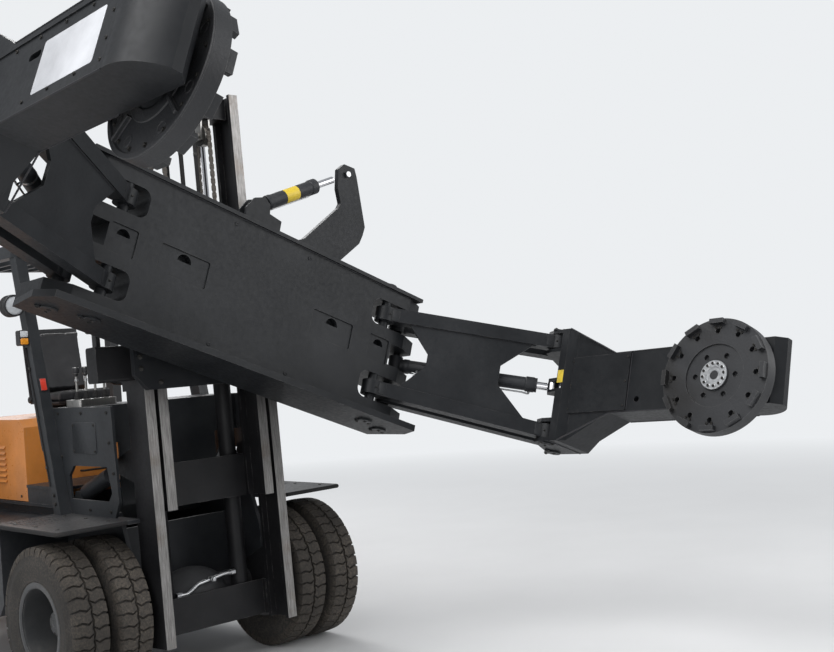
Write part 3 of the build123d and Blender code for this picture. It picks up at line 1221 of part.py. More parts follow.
# Pad arm: a yoke that holds both links, and the long box to the pad
ARM = Plane(origin=HANDLER.from_local_coords((ARM_PIN_F, ARM_PIN_U, 0)), x_dir=HANDLER.x_dir,
            z_dir=HANDLER.z_dir)
YOKE_FRONT = 85.0
YOKE_IN = -70.0
YOKE_OUT = 295.0
LUG_GAP = 4.0
ARM_LEN = PAD_REACH + ARM_TAIL
ARM_PANEL_L = 510.0
ARM_PANEL_T = 14.0
COVER_L = 1170.0
ARM_HOLE_R = 20.0
ARM_HOLE_DEEP = 40.0
with BuildPart() as arm_left:
    with BuildSketch(plan(ARM, -YOKE_HALF)):
        with BuildLine():
            Polyline((YOKE_FRONT, YOKE_OUT), (YOKE_FRONT, YOKE_IN), (YOKE_FRONT + 60, YOKE_IN),
                     (YOKE_FRONT + 100, ARM_IN), (ARM_LEN - 60, ARM_IN), (ARM_LEN, 45), (ARM_LEN, 90))
            ThreePointArc((ARM_LEN, 90), (ARM_LEN - 75, 185), (ARM_LEN - 260, ARM_OUT))
            Polyline((ARM_LEN - 260, ARM_OUT), (YOKE_FRONT + 200, ARM_OUT), (YOKE_FRONT + 60, YOKE_OUT),
                     (YOKE_FRONT, YOKE_OUT))
        make_face()
    extrude(amount=2 * YOKE_HALF)
    with BuildSketch(side(ARM, YOKE_OUT + 5)):
        with BuildLine():
            Polyline((YOKE_FRONT, YOKE_HALF), (YOKE_FRONT + 70, YOKE_HALF), (YOKE_FRONT + 440, ARM_HALF),
                     (ARM_LEN, ARM_HALF), (ARM_LEN, -ARM_HALF), (YOKE_FRONT + 440, -ARM_HALF),
                     (YOKE_FRONT + 70, -YOKE_HALF), (YOKE_FRONT, -YOKE_HALF), (YOKE_FRONT, YOKE_HALF))
        make_face()
    extrude(amount=YOKE_OUT + 5 - YOKE_IN + 5, mode=Mode.INTERSECT)
    # lugs above and below each boss, and the pins through them
    for w in (-1, 1):
        for low in (ARM_PIN_W - BAR_H / 2 - 3 * LUG_GAP - LUG_T, ARM_PIN_W + BAR_H / 2 + LUG_GAP):
            with BuildSketch(plan(ARM, w * low)):
                with BuildLine():
                    Polyline((YOKE_FRONT + 5, YOKE_IN), (YOKE_FRONT + 5, YOKE_OUT), (-120, YOKE_OUT - 5),
                             (-170, REAR_PIN_U), (-60, -50), (0, YOKE_IN), (YOKE_FRONT + 5, YOKE_IN))
                make_face()
            extrude(amount=w * LUG_T)
        with BuildSketch(plan(ARM, w * (ARM_PIN_W - BAR_H / 2 - 3 * LUG_GAP - 1))):
            with Locations((0, 0), (REAR_PIN_F, REAR_PIN_U)):
                Circle(PIN_R)
        extrude(amount=w * (BAR_H + 4 * LUG_GAP + 2))
    # room for the drifting rod eye, then the clevis plates beside it
    with BuildSketch(plan(ARM, -CYL_EYE_R)):
        with Locations((YOKE_FRONT + 20, 0)):
            Rectangle(50, 400)
    extrude(amount=2 * CYL_EYE_R, mode=Mode.SUBTRACT)
    for low in (-CYL_EYE_R - 4, 30):
        with BuildSketch(plan(ARM, low)):
            with BuildLine():
                Polyline((YOKE_FRONT + 60, YOKE_IN), (YOKE_FRONT + 60, 75), (10, 60), (-45, 0), (0, -55),
                         (YOKE_FRONT + 60, YOKE_IN))
            make_face()
        extrude(amount=20)
    # raised panel and pin hole on the inner side, sunk cover with a long hole on the outer side
    with BuildSketch(side(ARM, ARM_IN + 1)):
        with Locations((YOKE_FRONT + 320, 0)):
            RectangleRounded(ARM_PANEL_L, 2 * ARM_HALF - 20, 10)
    extrude(amount=ARM_PANEL_T + 1)
    with BuildSketch(side(ARM, ARM_IN + ARM_HOLE_DEEP)):
        with Locations((YOKE_FRONT + 652, 40 - 0.8 * ARM_HALF)):
            Circle(ARM_HOLE_R)
    extrude(amount=ARM_HOLE_DEEP + 1, mode=Mode.SUBTRACT)
    with BuildSketch(side(ARM, ARM_OUT + 1)):
        with Locations((YOKE_FRONT + 820, 0)):
            RectangleRounded(COVER_L, 2 * ARM_HALF - 70, 20)
    extrude(amount=ARM_PANEL_T / 2 + 1, mode=Mode.SUBTRACT)
    with BuildSketch(side(ARM, ARM_OUT + 1)):
        with Locations((YOKE_FRONT + 705, 70)):
            SlotOverall(110, 36)
    extrude(amount=ARM_HOLE_DEEP + 1, mode=Mode.SUBTRACT)
    # bearing boss behind the pad
    with BuildSketch(Plane(origin=ARM.from_local_coords((PAD_REACH, ARM_IN + 1, -PAD_DROP)), x_dir=ARM.x_dir,
                           z_dir=-ARM.y_dir)):
        Circle(ARM_BOSS_R)
    extrude(amount=ARM_BOSS_T + 1)
    with BuildSketch(Plane(origin=ARM.from_local_coords((PAD_REACH, ARM_IN, -PAD_DROP)), x_dir=ARM.x_dir,
                           z_dir=-ARM.y_dir)):
        Circle(60 + RUN_GAP)
    extrude(amount=ARM_BOSS_T + 1, mode=Mode.SUBTRACT)
write(arm_left.part, "arm_left")
mirrored(arm_left.part, HANDLER_MIDDLE, "arm_right")

# Turning pad at the end of the arm, its toothed face towards the other pad
PAD = Plane(origin=ARM.from_local_coords((PAD_REACH, PAD_FACE, -PAD_DROP)), x_dir=ARM.x_dir,
            z_dir=-ARM.y_dir)
NECK_END = ARM_IN - ARM_BOSS_T - PAD_FACE - 2 * RUN_GAP
RECESS_R = 0.55 * PAD_R
PAD_HUB_R = 0.25 * PAD_R
with BuildPart() as pad_left:
    with BuildSketch(PAD):
        Circle(PAD_R)
    extrude(amount=-PAD_RIM)
    with BuildSketch(PAD):
        Circle(RECESS_R)
        Circle(PAD_HUB_R, mode=Mode.SUBTRACT)
    extrude(amount=-RECESS_DEEP, mode=Mode.SUBTRACT)
    with BuildSketch(PAD):
        with PolarLocations(0.78 * PAD_R, RING_HOLES):
            Circle(PAD_HOLE_R)
        with PolarLocations(0.38 * PAD_R, HUB_HOLES):
            Circle(PAD_HOLE_R)
    extrude(amount=-PAD_HOLE_DEEP, mode=Mode.SUBTRACT)
    with BuildSketch(PAD.offset(-1)):
        with PolarLocations(PAD_R - TOOTH_T / 2 - 10, TEETH):
            Rectangle(TOOTH_T, TOOTH_W)
    extrude(amount=TOOTH_H + 1)
    with BuildSketch(PAD.offset(-PAD_RIM + 1)):
        Circle(PAD_HUB_R + 20)
    extrude(amount=-NECK_END + PAD_RIM - 1)
    with BuildSketch(PAD.offset(-PAD_RIM + 1)):
        Circle(60)
    extrude(amount=-NECK_END + PAD_RIM - 1 - ARM_BOSS_T + 3)
write(pad_left.part, "pad_left")
mirrored(pad_left.part, HANDLER_MIDDLE, "pad_right")

# Swing cylinder between the beam and the arm's yoke
SWING_FROM = HANDLER.from_local_coords((CYL_F, CYL_U, 0))
SWING_TO = HANDLER.from_local_coords((ARM_PIN_F, ARM_PIN_U, 0))
SWING_LINE = (SWING_TO - SWING_FROM).normalized()
SWING_L = (SWING_TO - SWING_FROM).length
SWING = Plane(origin=SWING_FROM, x_dir=SWING_LINE, z_dir=HANDLER.z_dir)
SWING_AXIS = Plane(origin=SWING_FROM, x_dir=HANDLER.z_dir, z_dir=SWING_LINE)
with BuildPart() as swing_barrel_left:
    with BuildSketch(SWING_AXIS.offset(40)):
        Circle(CYL_R)
    extrude(amount=CYL_BARREL_END - 40)
    with BuildSketch(SWING.offset(-CYL_POCKET_H / 2 + 15)):
        Circle(50)
    extrude(amount=CYL_POCKET_H - 30)
    with BuildSketch(SWING.offset(-CYL_POCKET_H / 2)):
        Circle(CYL_PIN_R + RUN_GAP)
    extrude(amount=CYL_POCKET_H, mode=Mode.SUBTRACT)
    with BuildSketch(SWING_AXIS.offset(500)):
        Circle(CYL_ROD_R + RUN_GAP)
    extrude(amount=CYL_BARREL_END, mode=Mode.SUBTRACT)
write(swing_barrel_left.part, "swing_barrel_left")
mirrored(swing_barrel_left.part, HANDLER_MIDDLE, "swing_barrel_right")

with BuildPart() as swing_rod_left:
    with BuildSketch(SWING_AXIS.offset(CYL_ROD_START)):
        Circle(CYL_ROD_R)
    extrude(amount=SWING_L - 20 - CYL_ROD_START)
    with BuildSketch(SWING.offset(-26)):
        with Locations((SWING_L, 0)):
            Circle(CYL_EYE_R)
    extrude(amount=52)
write(swing_rod_left.part, "swing_rod_left")
mirrored(swing_rod_left.part, HANDLER_MIDDLE, "swing_rod_right")
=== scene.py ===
from math import cos, pi, radians, sin

import bmesh
import bpy
from mathutils import Matrix, Vector


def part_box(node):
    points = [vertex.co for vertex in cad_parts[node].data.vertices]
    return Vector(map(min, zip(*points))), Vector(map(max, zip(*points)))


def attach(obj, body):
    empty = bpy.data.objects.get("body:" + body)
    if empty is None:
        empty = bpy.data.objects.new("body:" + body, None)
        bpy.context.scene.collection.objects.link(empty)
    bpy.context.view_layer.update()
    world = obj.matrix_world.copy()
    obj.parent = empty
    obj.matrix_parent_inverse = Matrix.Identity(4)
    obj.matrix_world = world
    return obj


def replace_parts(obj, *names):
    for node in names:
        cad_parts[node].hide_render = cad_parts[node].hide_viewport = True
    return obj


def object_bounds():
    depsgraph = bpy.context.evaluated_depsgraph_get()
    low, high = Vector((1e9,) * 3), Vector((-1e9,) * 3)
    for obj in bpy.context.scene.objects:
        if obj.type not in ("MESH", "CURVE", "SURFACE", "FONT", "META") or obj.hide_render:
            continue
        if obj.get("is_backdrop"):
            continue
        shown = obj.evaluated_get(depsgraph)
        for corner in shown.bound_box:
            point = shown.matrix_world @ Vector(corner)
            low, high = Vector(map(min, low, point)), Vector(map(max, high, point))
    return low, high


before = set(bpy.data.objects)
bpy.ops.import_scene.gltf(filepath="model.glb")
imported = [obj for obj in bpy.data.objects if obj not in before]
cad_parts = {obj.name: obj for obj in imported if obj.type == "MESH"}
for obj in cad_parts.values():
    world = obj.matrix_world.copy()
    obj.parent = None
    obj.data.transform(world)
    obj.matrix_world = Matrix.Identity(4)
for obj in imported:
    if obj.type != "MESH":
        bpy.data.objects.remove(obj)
cad_low, cad_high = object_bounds()


# Frames of the machine, in metres: the same ones that the CAD part is drawn in
AXLE_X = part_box("front_axle")[0].x / 2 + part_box("front_axle")[1].x / 2
TYRE_R = 0.509
WEB_FROM, WEB_TO = 0.185, 1.095
WHEELBASE, FRONT_TRACK, INNER_TRACK, REAR_TRACK = 2.8, 1.005, 0.701, 0.920
LEAN = radians(2.2)
ROLL = radians(21.3)
OPEN = radians(55.0)
ROTOR_H = 2.453
PIN_F, PIN_U, LINK_L = 0.600, 1.050, 1.264
ARM_PIN_F = PIN_F + LINK_L * cos(OPEN)
ARM_PIN_U = PIN_U + LINK_L * sin(OPEN)
ARM_PIN_W = 0.327
PAD_REACH, PAD_FACE, PAD_DROP, PAD_RIM = 1.391, -0.128, 0.050, 0.076


class Axes:
    """An origin and three directions; at() gives the point that lies so far along each."""

    def __init__(self, origin, x, z):
        self.origin, self.x, self.z = Vector(origin), Vector(x).normalized(), Vector(z).normalized()
        self.y = self.z.cross(self.x)

    def at(self, a, b=0.0, c=0.0):
        return self.origin + self.x * a + self.y * b + self.z * c

    def way(self, a, b=0.0, c=0.0):
        return self.x * a + self.y * b + self.z * c

    def moved(self, a, b=0.0, c=0.0):
        return Axes(self.at(a, b, c), self.x, self.z)


TRUCK = Axes((AXLE_X, 0, 0), (1, 0, 0), (0, 0, 1))
MAST = Axes((AXLE_X + 0.526, 0, 0), (cos(LEAN), 0, sin(LEAN)), (-sin(LEAN), 0, cos(LEAN)))
HANDLER = Axes(MAST.at(0, 0, ROTOR_H), MAST.x, MAST.z * cos(ROLL) + MAST.y * sin(ROLL))
SIDES = (("left", 1), ("right", -1))


def arm_frame(sign):
    return HANDLER.moved(ARM_PIN_F, sign * ARM_PIN_U, 0)


def link_frame(sign, f=PIN_F, u=PIN_U):
    return Axes(HANDLER.at(f, sign * u, 0), HANDLER.x * cos(OPEN) + HANDLER.y * (sign * sin(OPEN)),
        HANDLER.z)


# Materials
class Nodes:
    """A short way to write a material's nodes."""

    def __init__(self, name):
        self.material = bpy.data.materials.new(name)
        self.material.use_nodes = True
        self.tree = self.material.node_tree
        self.shader = self.tree.nodes["Principled BSDF"]
        self.place = self.new("ShaderNodeTexCoord").outputs["Object"]

    def new(self, kind, **settings):
        node = self.tree.nodes.new(kind)
        for key, value in settings.items():
            setattr(node, key, value)
        return node

    def put(self, socket, value):
        if isinstance(value, bpy.types.NodeSocket):
            self.tree.links.new(value, socket)
        else:
            socket.default_value = value

    def noise(self, scale, detail=4.0, rough=0.55, stretch=None, distort=0.0):
        place = self.place
        if stretch:
            node = self.new("ShaderNodeMapping")
            self.put(node.inputs["Vector"], place)
            node.inputs["Scale"].default_value = stretch
            place = node.outputs["Vector"]
        node = self.new("ShaderNodeTexNoise")
        self.put(node.inputs["Vector"], place)
        for key, value in (("Scale", scale), ("Detail", detail), ("Roughness", rough),
                ("Distortion", distort)):
            node.inputs[key].default_value = value
        return node.outputs["Fac"]

    def cells(self, scale, feature="F1"):
        node = self.new("ShaderNodeTexVoronoi", feature=feature)
        self.put(node.inputs["Vector"], self.place)
        node.inputs["Scale"].default_value = scale
        return node.outputs["Distance"]

    def span(self, value, low, high, to_low=0.0, to_high=1.0):
        node = self.new("ShaderNodeMapRange")
        self.put(node.inputs["Value"], value)
        for key, number in (("From Min", low), ("From Max", high), ("To Min", to_low),
                ("To Max", to_high)):
            node.inputs[key].default_value = number
        return node.outputs["Result"]

    def math(self, kind, a, b=0.0):
        node = self.new("ShaderNodeMath", operation=kind)
        self.put(node.inputs[0], a)
        self.put(node.inputs[1], b)
        return node.outputs[0]

    def mix(self, factor, a, b):
        node = self.new("ShaderNodeMix", data_type="RGBA")
        self.put(node.inputs["Factor"], factor)
        self.put(node.inputs["A"], a)
        self.put(node.inputs["B"], b)
        return node.outputs["Result"]

    def dot(self, vector, direction):
        node = self.new("ShaderNodeVectorMath", operation="DOT_PRODUCT")
        self.put(node.inputs[0], vector)
        node.inputs[1].default_value = direction
        return node.outputs["Value"]

    def edges(self, radius):
        """1 near a sharp edge and 0 on flat faces."""
        bevel = self.new("ShaderNodeBevel", samples=4)
        bevel.inputs["Radius"].default_value = radius
        straight = self.new("ShaderNodeNewGeometry").outputs["Normal"]
        node = self.new("ShaderNodeVectorMath", operation="DOT_PRODUCT")
        self.put(node.inputs[0], bevel.outputs["Normal"])
        self.put(node.inputs[1], straight)
        return self.span(node.outputs["Value"], 0.995, 0.86)

    def up(self):
        """How far the surface looks up."""
        return self.dot(self.new("ShaderNodeNewGeometry").outputs["Normal"], (0, 0, 1))

    def bump(self, height, strength, distance):
        node = self.new("ShaderNodeBump")
        self.put(node.inputs["Height"], height)
        node.inputs["Strength"].default_value = strength
        node.inputs["Distance"].default_value = distance
        self.put(self.shader.inputs["Normal"], node.outputs["Normal"])

    def finish(self, colour, rough, metallic=0.0, coat=0.0, specular=0.5):
        self.put(self.shader.inputs["Base Color"], colour)
        self.put(self.shader.inputs["Roughness"], rough)
        self.put(self.shader.inputs["Metallic"], metallic)
        self.shader.inputs["Coat Weight"].default_value = coat
        self.shader.inputs["Specular IOR Level"].default_value = specular
        return self.material


def rgb(r, g, b):
    return (r, g, b, 1.0)


DUST = rgb(0.30, 0.27, 0.23)


def paint(name, colour, rough=0.42, wear=0.55, under=rgb(0.30, 0.29, 0.28), dust=0.25, coat=0.0,
        peel=0.06,
          steel=None, specular=0.5):
    """Sprayed paint: uneven tone, dust that settles, edges rubbed through, orange-peel skin."""
    n = Nodes(name)
    broad = n.noise(1.7, 5.0, 0.6)
    fine = n.noise(38.0, 6.0, 0.65)
    dark = tuple(0.72 * c for c in colour[:3]) + (1.0,)
    light = tuple(min(1.0, 1.22 * c + 0.006) for c in colour[:3]) + (1.0,)
    tone = n.mix(n.span(broad, 0.32, 0.70), dark, light)
    lying = n.math("MULTIPLY", n.span(n.up(), 0.2, 1.0, 0.25, 1.0), n.span(broad, 0.35, 0.75))
    lying = n.math("MULTIPLY", lying, n.span(fine, 0.3, 0.65))
    tone = n.mix(n.math("MULTIPLY", lying, dust), tone, DUST)
    rubbed = n.math("MULTIPLY", n.edges(0.006), n.span(n.noise(9.0, 7.0, 0.7), 0.47, 0.62, 0.0, wear))
    tone = n.mix(rubbed, tone, under)
    shine = n.span(fine, 0.3, 0.7, rough - 0.07, rough + 0.10)
    shine = n.math("ADD", shine, n.math("MULTIPLY", lying, 0.35 * dust))
    metal = 0.0
    if steel:
        mask = steel(n)
        scratch = n.noise(3.0, 8.0, 0.7, stretch=(60.0, 60.0, 1.2))
        bright = n.mix(n.span(scratch, 0.35, 0.68), rgb(0.13, 0.125, 0.12), rgb(0.36, 0.35, 0.34))
        rust = n.span(n.noise(2.2, 8.0, 0.72), 0.52, 0.66)
        bright = n.mix(n.math("MULTIPLY", rust, 0.55), bright, rgb(0.16, 0.12, 0.09))
        tone = n.mix(mask, tone, bright)
        metal = n.math("MULTIPLY", mask, 0.75)
        shine = n.math("ADD", n.math("MULTIPLY", mask, -0.08), shine)
    n.bump(n.math("ADD", n.math("MULTIPLY", fine, 0.25), n.noise(260.0, 2.0, 0.5)), peel, 0.002)
    return n.finish(tone, shine, metal, coat, specular)


def mast_faces(low, high):
    """A mask for the front faces of the mast's channels, worn bright by the rollers and pads."""
    def mask(n):
        origin = n.new("ShaderNodeVectorMath", operation="SUBTRACT")
        n.put(origin.inputs[0], n.place)
        origin.inputs[1].default_value = tuple(MAST.origin)
        forward = n.dot(origin.outputs[0], tuple(MAST.x))
        height = n.dot(origin.outputs[0], tuple(MAST.z))
        front = n.math("GREATER_THAN", forward, -0.002)
        return n.math("MULTIPLY", front, n.math("MULTIPLY", n.math("GREATER_THAN", height, low),
            n.math("LESS_THAN", height, high)))
    return mask


def rubber(name, colour, dusty):
    n = Nodes(name)
    broad = n.noise(3.0, 5.0)
    fine = n.noise(70.0, 5.0, 0.7)
    tone = n.mix(n.span(broad, 0.3, 0.7), colour, tuple(1.5 * c for c in colour[:3]) + (1.0,))
    grit = n.math("MULTIPLY", n.span(fine, 0.42, 0.70), n.span(broad, 0.35, 0.7, 0.3, 1.0))
    tone = n.mix(n.math("MULTIPLY", grit, dusty), tone, rgb(0.23, 0.19, 0.15))
    n.bump(n.math("ADD", fine, n.noise(400.0, 2.0)), 0.25, 0.0015)
    return n.finish(tone, n.span(fine, 0.3, 0.7, 0.68, 0.90), specular=0.3)


def casting(name, colour, rough=0.6):
    n = Nodes(name)
    broad = n.noise(4.0, 6.0, 0.6)
    fine = n.noise(120.0, 5.0, 0.7)
    tone = n.mix(n.span(broad, 0.3, 0.72), tuple(0.65 * c for c in colour[:3]) + (1.0,), colour)
    oily = n.span(n.noise(1.3, 4.0), 0.52, 0.62)
    tone = n.mix(n.math("MULTIPLY", oily, 0.55), tone, rgb(0.018, 0.016, 0.014))
    tone = n.mix(n.math("MULTIPLY", n.edges(0.005), n.span(fine, 0.4, 0.6, 0.0, 0.35)), tone,
        rgb(0.32, 0.31, 0.30))
    n.bump(n.math("ADD", n.cells(55.0), fine), 0.16, 0.003)
    return n.finish(tone, n.math("SUBTRACT", n.span(fine, 0.3, 0.7, rough - 0.08, rough + 0.12),
        n.math("MULTIPLY", oily, 0.18)))


def metal(name, colour, rough, stretch=(40.0, 40.0, 1.5), stain=0.3, metallic=1.0):
    n = Nodes(name)
    grain = n.noise(6.0, 7.0, 0.65, stretch=stretch)
    spots = n.span(n.noise(14.0, 6.0, 0.7), 0.52, 0.72)
    tone = n.mix(n.span(grain, 0.3, 0.7), tuple(0.7 * c for c in colour[:3]) + (1.0,), colour)
    tone = n.mix(n.math("MULTIPLY", spots, stain), tone, rgb(0.10, 0.08, 0.06))
    n.bump(grain, 0.05, 0.001)
    return n.finish(tone, n.span(grain, 0.25, 0.75, rough - 0.05, rough + 0.14), metallic)


def plastic(name, colour, rough=0.5):
    n = Nodes(name)
    grain = n.noise(220.0, 3.0, 0.6)
    broad = n.noise(6.0, 4.0)
    tone = n.mix(n.span(broad, 0.3, 0.7), colour, tuple(1.35 * c + 0.004 for c in colour[:3]) + (1.0,))
    n.bump(n.math("ADD", grain, n.cells(300.0)), 0.18, 0.0008)
    return n.finish(tone, n.span(grain, 0.3, 0.7, rough - 0.06, rough + 0.1))


def vinyl(name, colour):
    """Grained seat covering, duller where it is sat on."""
    n = Nodes(name)
    grain = n.cells(420.0)
    creases = n.noise(16.0, 6.0, 0.6, distort=0.6)
    broad = n.noise(3.5, 4.0)
    tone = n.mix(n.span(broad, 0.3, 0.7), colour, tuple(1.6 * c + 0.006 for c in colour[:3]) + (1.0,))
    tone = n.mix(n.math("MULTIPLY", n.span(n.up(), 0.4, 1.0), 0.10), tone, DUST)
    n.bump(n.math("ADD", n.math("MULTIPLY", grain, 0.5), creases), 0.22, 0.0016)
    return n.finish(tone, n.span(creases, 0.3, 0.7, 0.42, 0.60), specular=0.4)


def glassy(name, colour, rough=0.08, glow=0.0):
    n = Nodes(name)
    ribs = n.new("ShaderNodeTexWave", wave_type="BANDS")
    n.put(ribs.inputs["Vector"], n.place)
    ribs.inputs["Scale"].default_value = 60.0
    n.bump(ribs.outputs["Fac"], 0.25, 0.002)
    tone = n.mix(n.span(n.noise(30.0, 3.0), 0.3, 0.7), colour, tuple(0.8 * c for c in colour[:3]) + (1.0,
        ))
    if glow:
        n.shader.inputs["Emission Color"].default_value = colour
        n.shader.inputs["Emission Strength"].default_value = glow
    return n.finish(tone, n.span(n.noise(40.0, 3.0), 0.3, 0.7, rough, rough + 0.08), 0.0, 0.6)


HANDLER_PAINT = paint("handler_paint", rgb(0.0095, 0.0108, 0.0130), 0.44, wear=0.55,
    under=rgb(0.10, 0.097, 0.092), dust=0.08, specular=0.24)
FRAME_PAINT = paint("frame_paint", rgb(0.020, 0.022, 0.026), 0.46, wear=0.5, dust=0.2, specular=0.3)
CAB_GREY = paint("cab_grey", rgb(0.022, 0.0245, 0.028), 0.38, wear=0.35, dust=0.15, specular=0.3)
BODY_ORANGE = paint("body_orange", rgb(0.60, 0.215, 0.040), 0.32, wear=0.3, under=rgb(0.35, 0.30, 0.27),
    dust=0.3, coat=0.25)
OUTER_MAST = paint("outer_mast_paint", rgb(0.009, 0.009, 0.0105), 0.45, wear=0.5, dust=0.1,
    steel=mast_faces(0.2, 3.2), specular=0.25)
INNER_MAST = paint("inner_mast_paint", rgb(0.009, 0.009, 0.0105), 0.42, wear=0.5, dust=0.1,
    steel=mast_faces(1.0, 4.1), specular=0.25)
DARK_CAST = casting("dark_casting", rgb(0.045, 0.045, 0.048))
PAD_CAST = casting("pad_casting", rgb(0.024, 0.025, 0.028), 0.5)
RIM_GREY = paint("rim_grey", rgb(0.050, 0.052, 0.055), 0.45, wear=0.6, dust=0.6)
TYRE = rubber("tyre_rubber", rgb(0.030, 0.027, 0.024), 0.55)
TYRE_SIDE = rubber("tyre_side", rgb(0.024, 0.023, 0.022), 0.4)
SEAT_VINYL = vinyl("seat_vinyl", rgb(0.020, 0.020, 0.022))
HOSE = rubber("hose_rubber", rgb(0.012, 0.012, 0.013), 0.12)
CHROME = metal("chrome", rgb(0.78, 0.78, 0.80), 0.10, stain=0.04)
STEEL = metal("bare_steel", rgb(0.50, 0.49, 0.47), 0.34, stain=0.45)
ZINC = metal("zinc_plate", rgb(0.62, 0.63, 0.64), 0.30, stretch=(8.0, 8.0, 8.0), stain=0.2)
BOLT_BLACK = metal("bolt_black", rgb(0.055, 0.053, 0.05), 0.42, stretch=(8.0, 8.0, 8.0), stain=0.3,
    metallic=0.7)
CHAIN = metal("chain_steel", rgb(0.16, 0.145, 0.13), 0.38, stretch=(20.0, 20.0, 20.0), stain=0.5,
    metallic=0.85)
BLACK_PLASTIC = plastic("black_plastic", rgb(0.016, 0.016, 0.018))
LAMP_SHELL = paint("lamp_shell", rgb(0.020, 0.020, 0.022), 0.5, wear=0.3, dust=0.3)
LENS = glassy("lamp_lens", rgb(0.62, 0.64, 0.66), 0.05)
AMBER = glassy("amber_lens", rgb(0.85, 0.33, 0.03), 0.12)
RED = glassy("red_lens", rgb(0.62, 0.05, 0.03), 0.15)
WHITE_PLATE = paint("blank_sticker", rgb(0.66, 0.67, 0.70), 0.35, wear=0.0, dust=0.15)
FILM = glassy("clear_film", rgb(0.80, 0.82, 0.84), 0.22)
FILM.node_tree.nodes["Principled BSDF"].inputs["Transmission Weight"].default_value = 0.75
FILM.node_tree.nodes["Principled BSDF"].inputs["IOR"].default_value = 1.12
WELD = metal("weld_bead", rgb(0.045, 0.045, 0.05), 0.45, stretch=(90.0, 90.0, 90.0), stain=0.3,
    metallic=0.5)
YELLOW_PLATE = paint("yellow_band", rgb(0.72, 0.52, 0.03), 0.4, wear=0.2, under=rgb(0.05, 0.05, 0.05),
    dust=0.3)

NODE_MATERIALS = (
    (("chassis", "tilt_barrels", "stay_barrel", "swing_barrel_left", "swing_barrel_right"), FRAME_PAINT),
    (("cowl", "overhead_guard"), CAB_GREY),
    (("hood", "hood_sides", "counterweight"), BODY_ORANGE),
    (("outer_mast", "lift_barrels"), OUTER_MAST),
    (("inner_mast",), INNER_MAST),
    (("carriage", "handler_beam", "stay_hook"), HANDLER_PAINT),
    (("link_left", "link_right", "rear_link_left", "rear_link_right", "arm_left", "arm_right"),
        HANDLER_PAINT),
    (("engine_block", "rear_axle", "front_axle", "knuckle_left", "knuckle_right", "rotator_drum"),
        DARK_CAST),
    (("pad_left", "pad_right"), PAD_CAST),
    (("front_rims_left", "front_rims_right", "rear_rim_left", "rear_rim_right"), RIM_GREY),
    (("lift_rods", "tilt_rods", "stay_rod", "swing_rod_left", "swing_rod_right"), CHROME),
    (("mast_pulleys",), STEEL),
    (("mast_hoses",), HOSE),
    (("control_levers",), STEEL),
    (("steering_column",), BLACK_PLASTIC),
    (("work_lamps", "mast_lamps", "radiator_grille"), LAMP_SHELL),
)
for names, material in NODE_MATERIALS:
    for name in names:
        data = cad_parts[name].data
        data.materials.clear()
        data.materials.append(material)


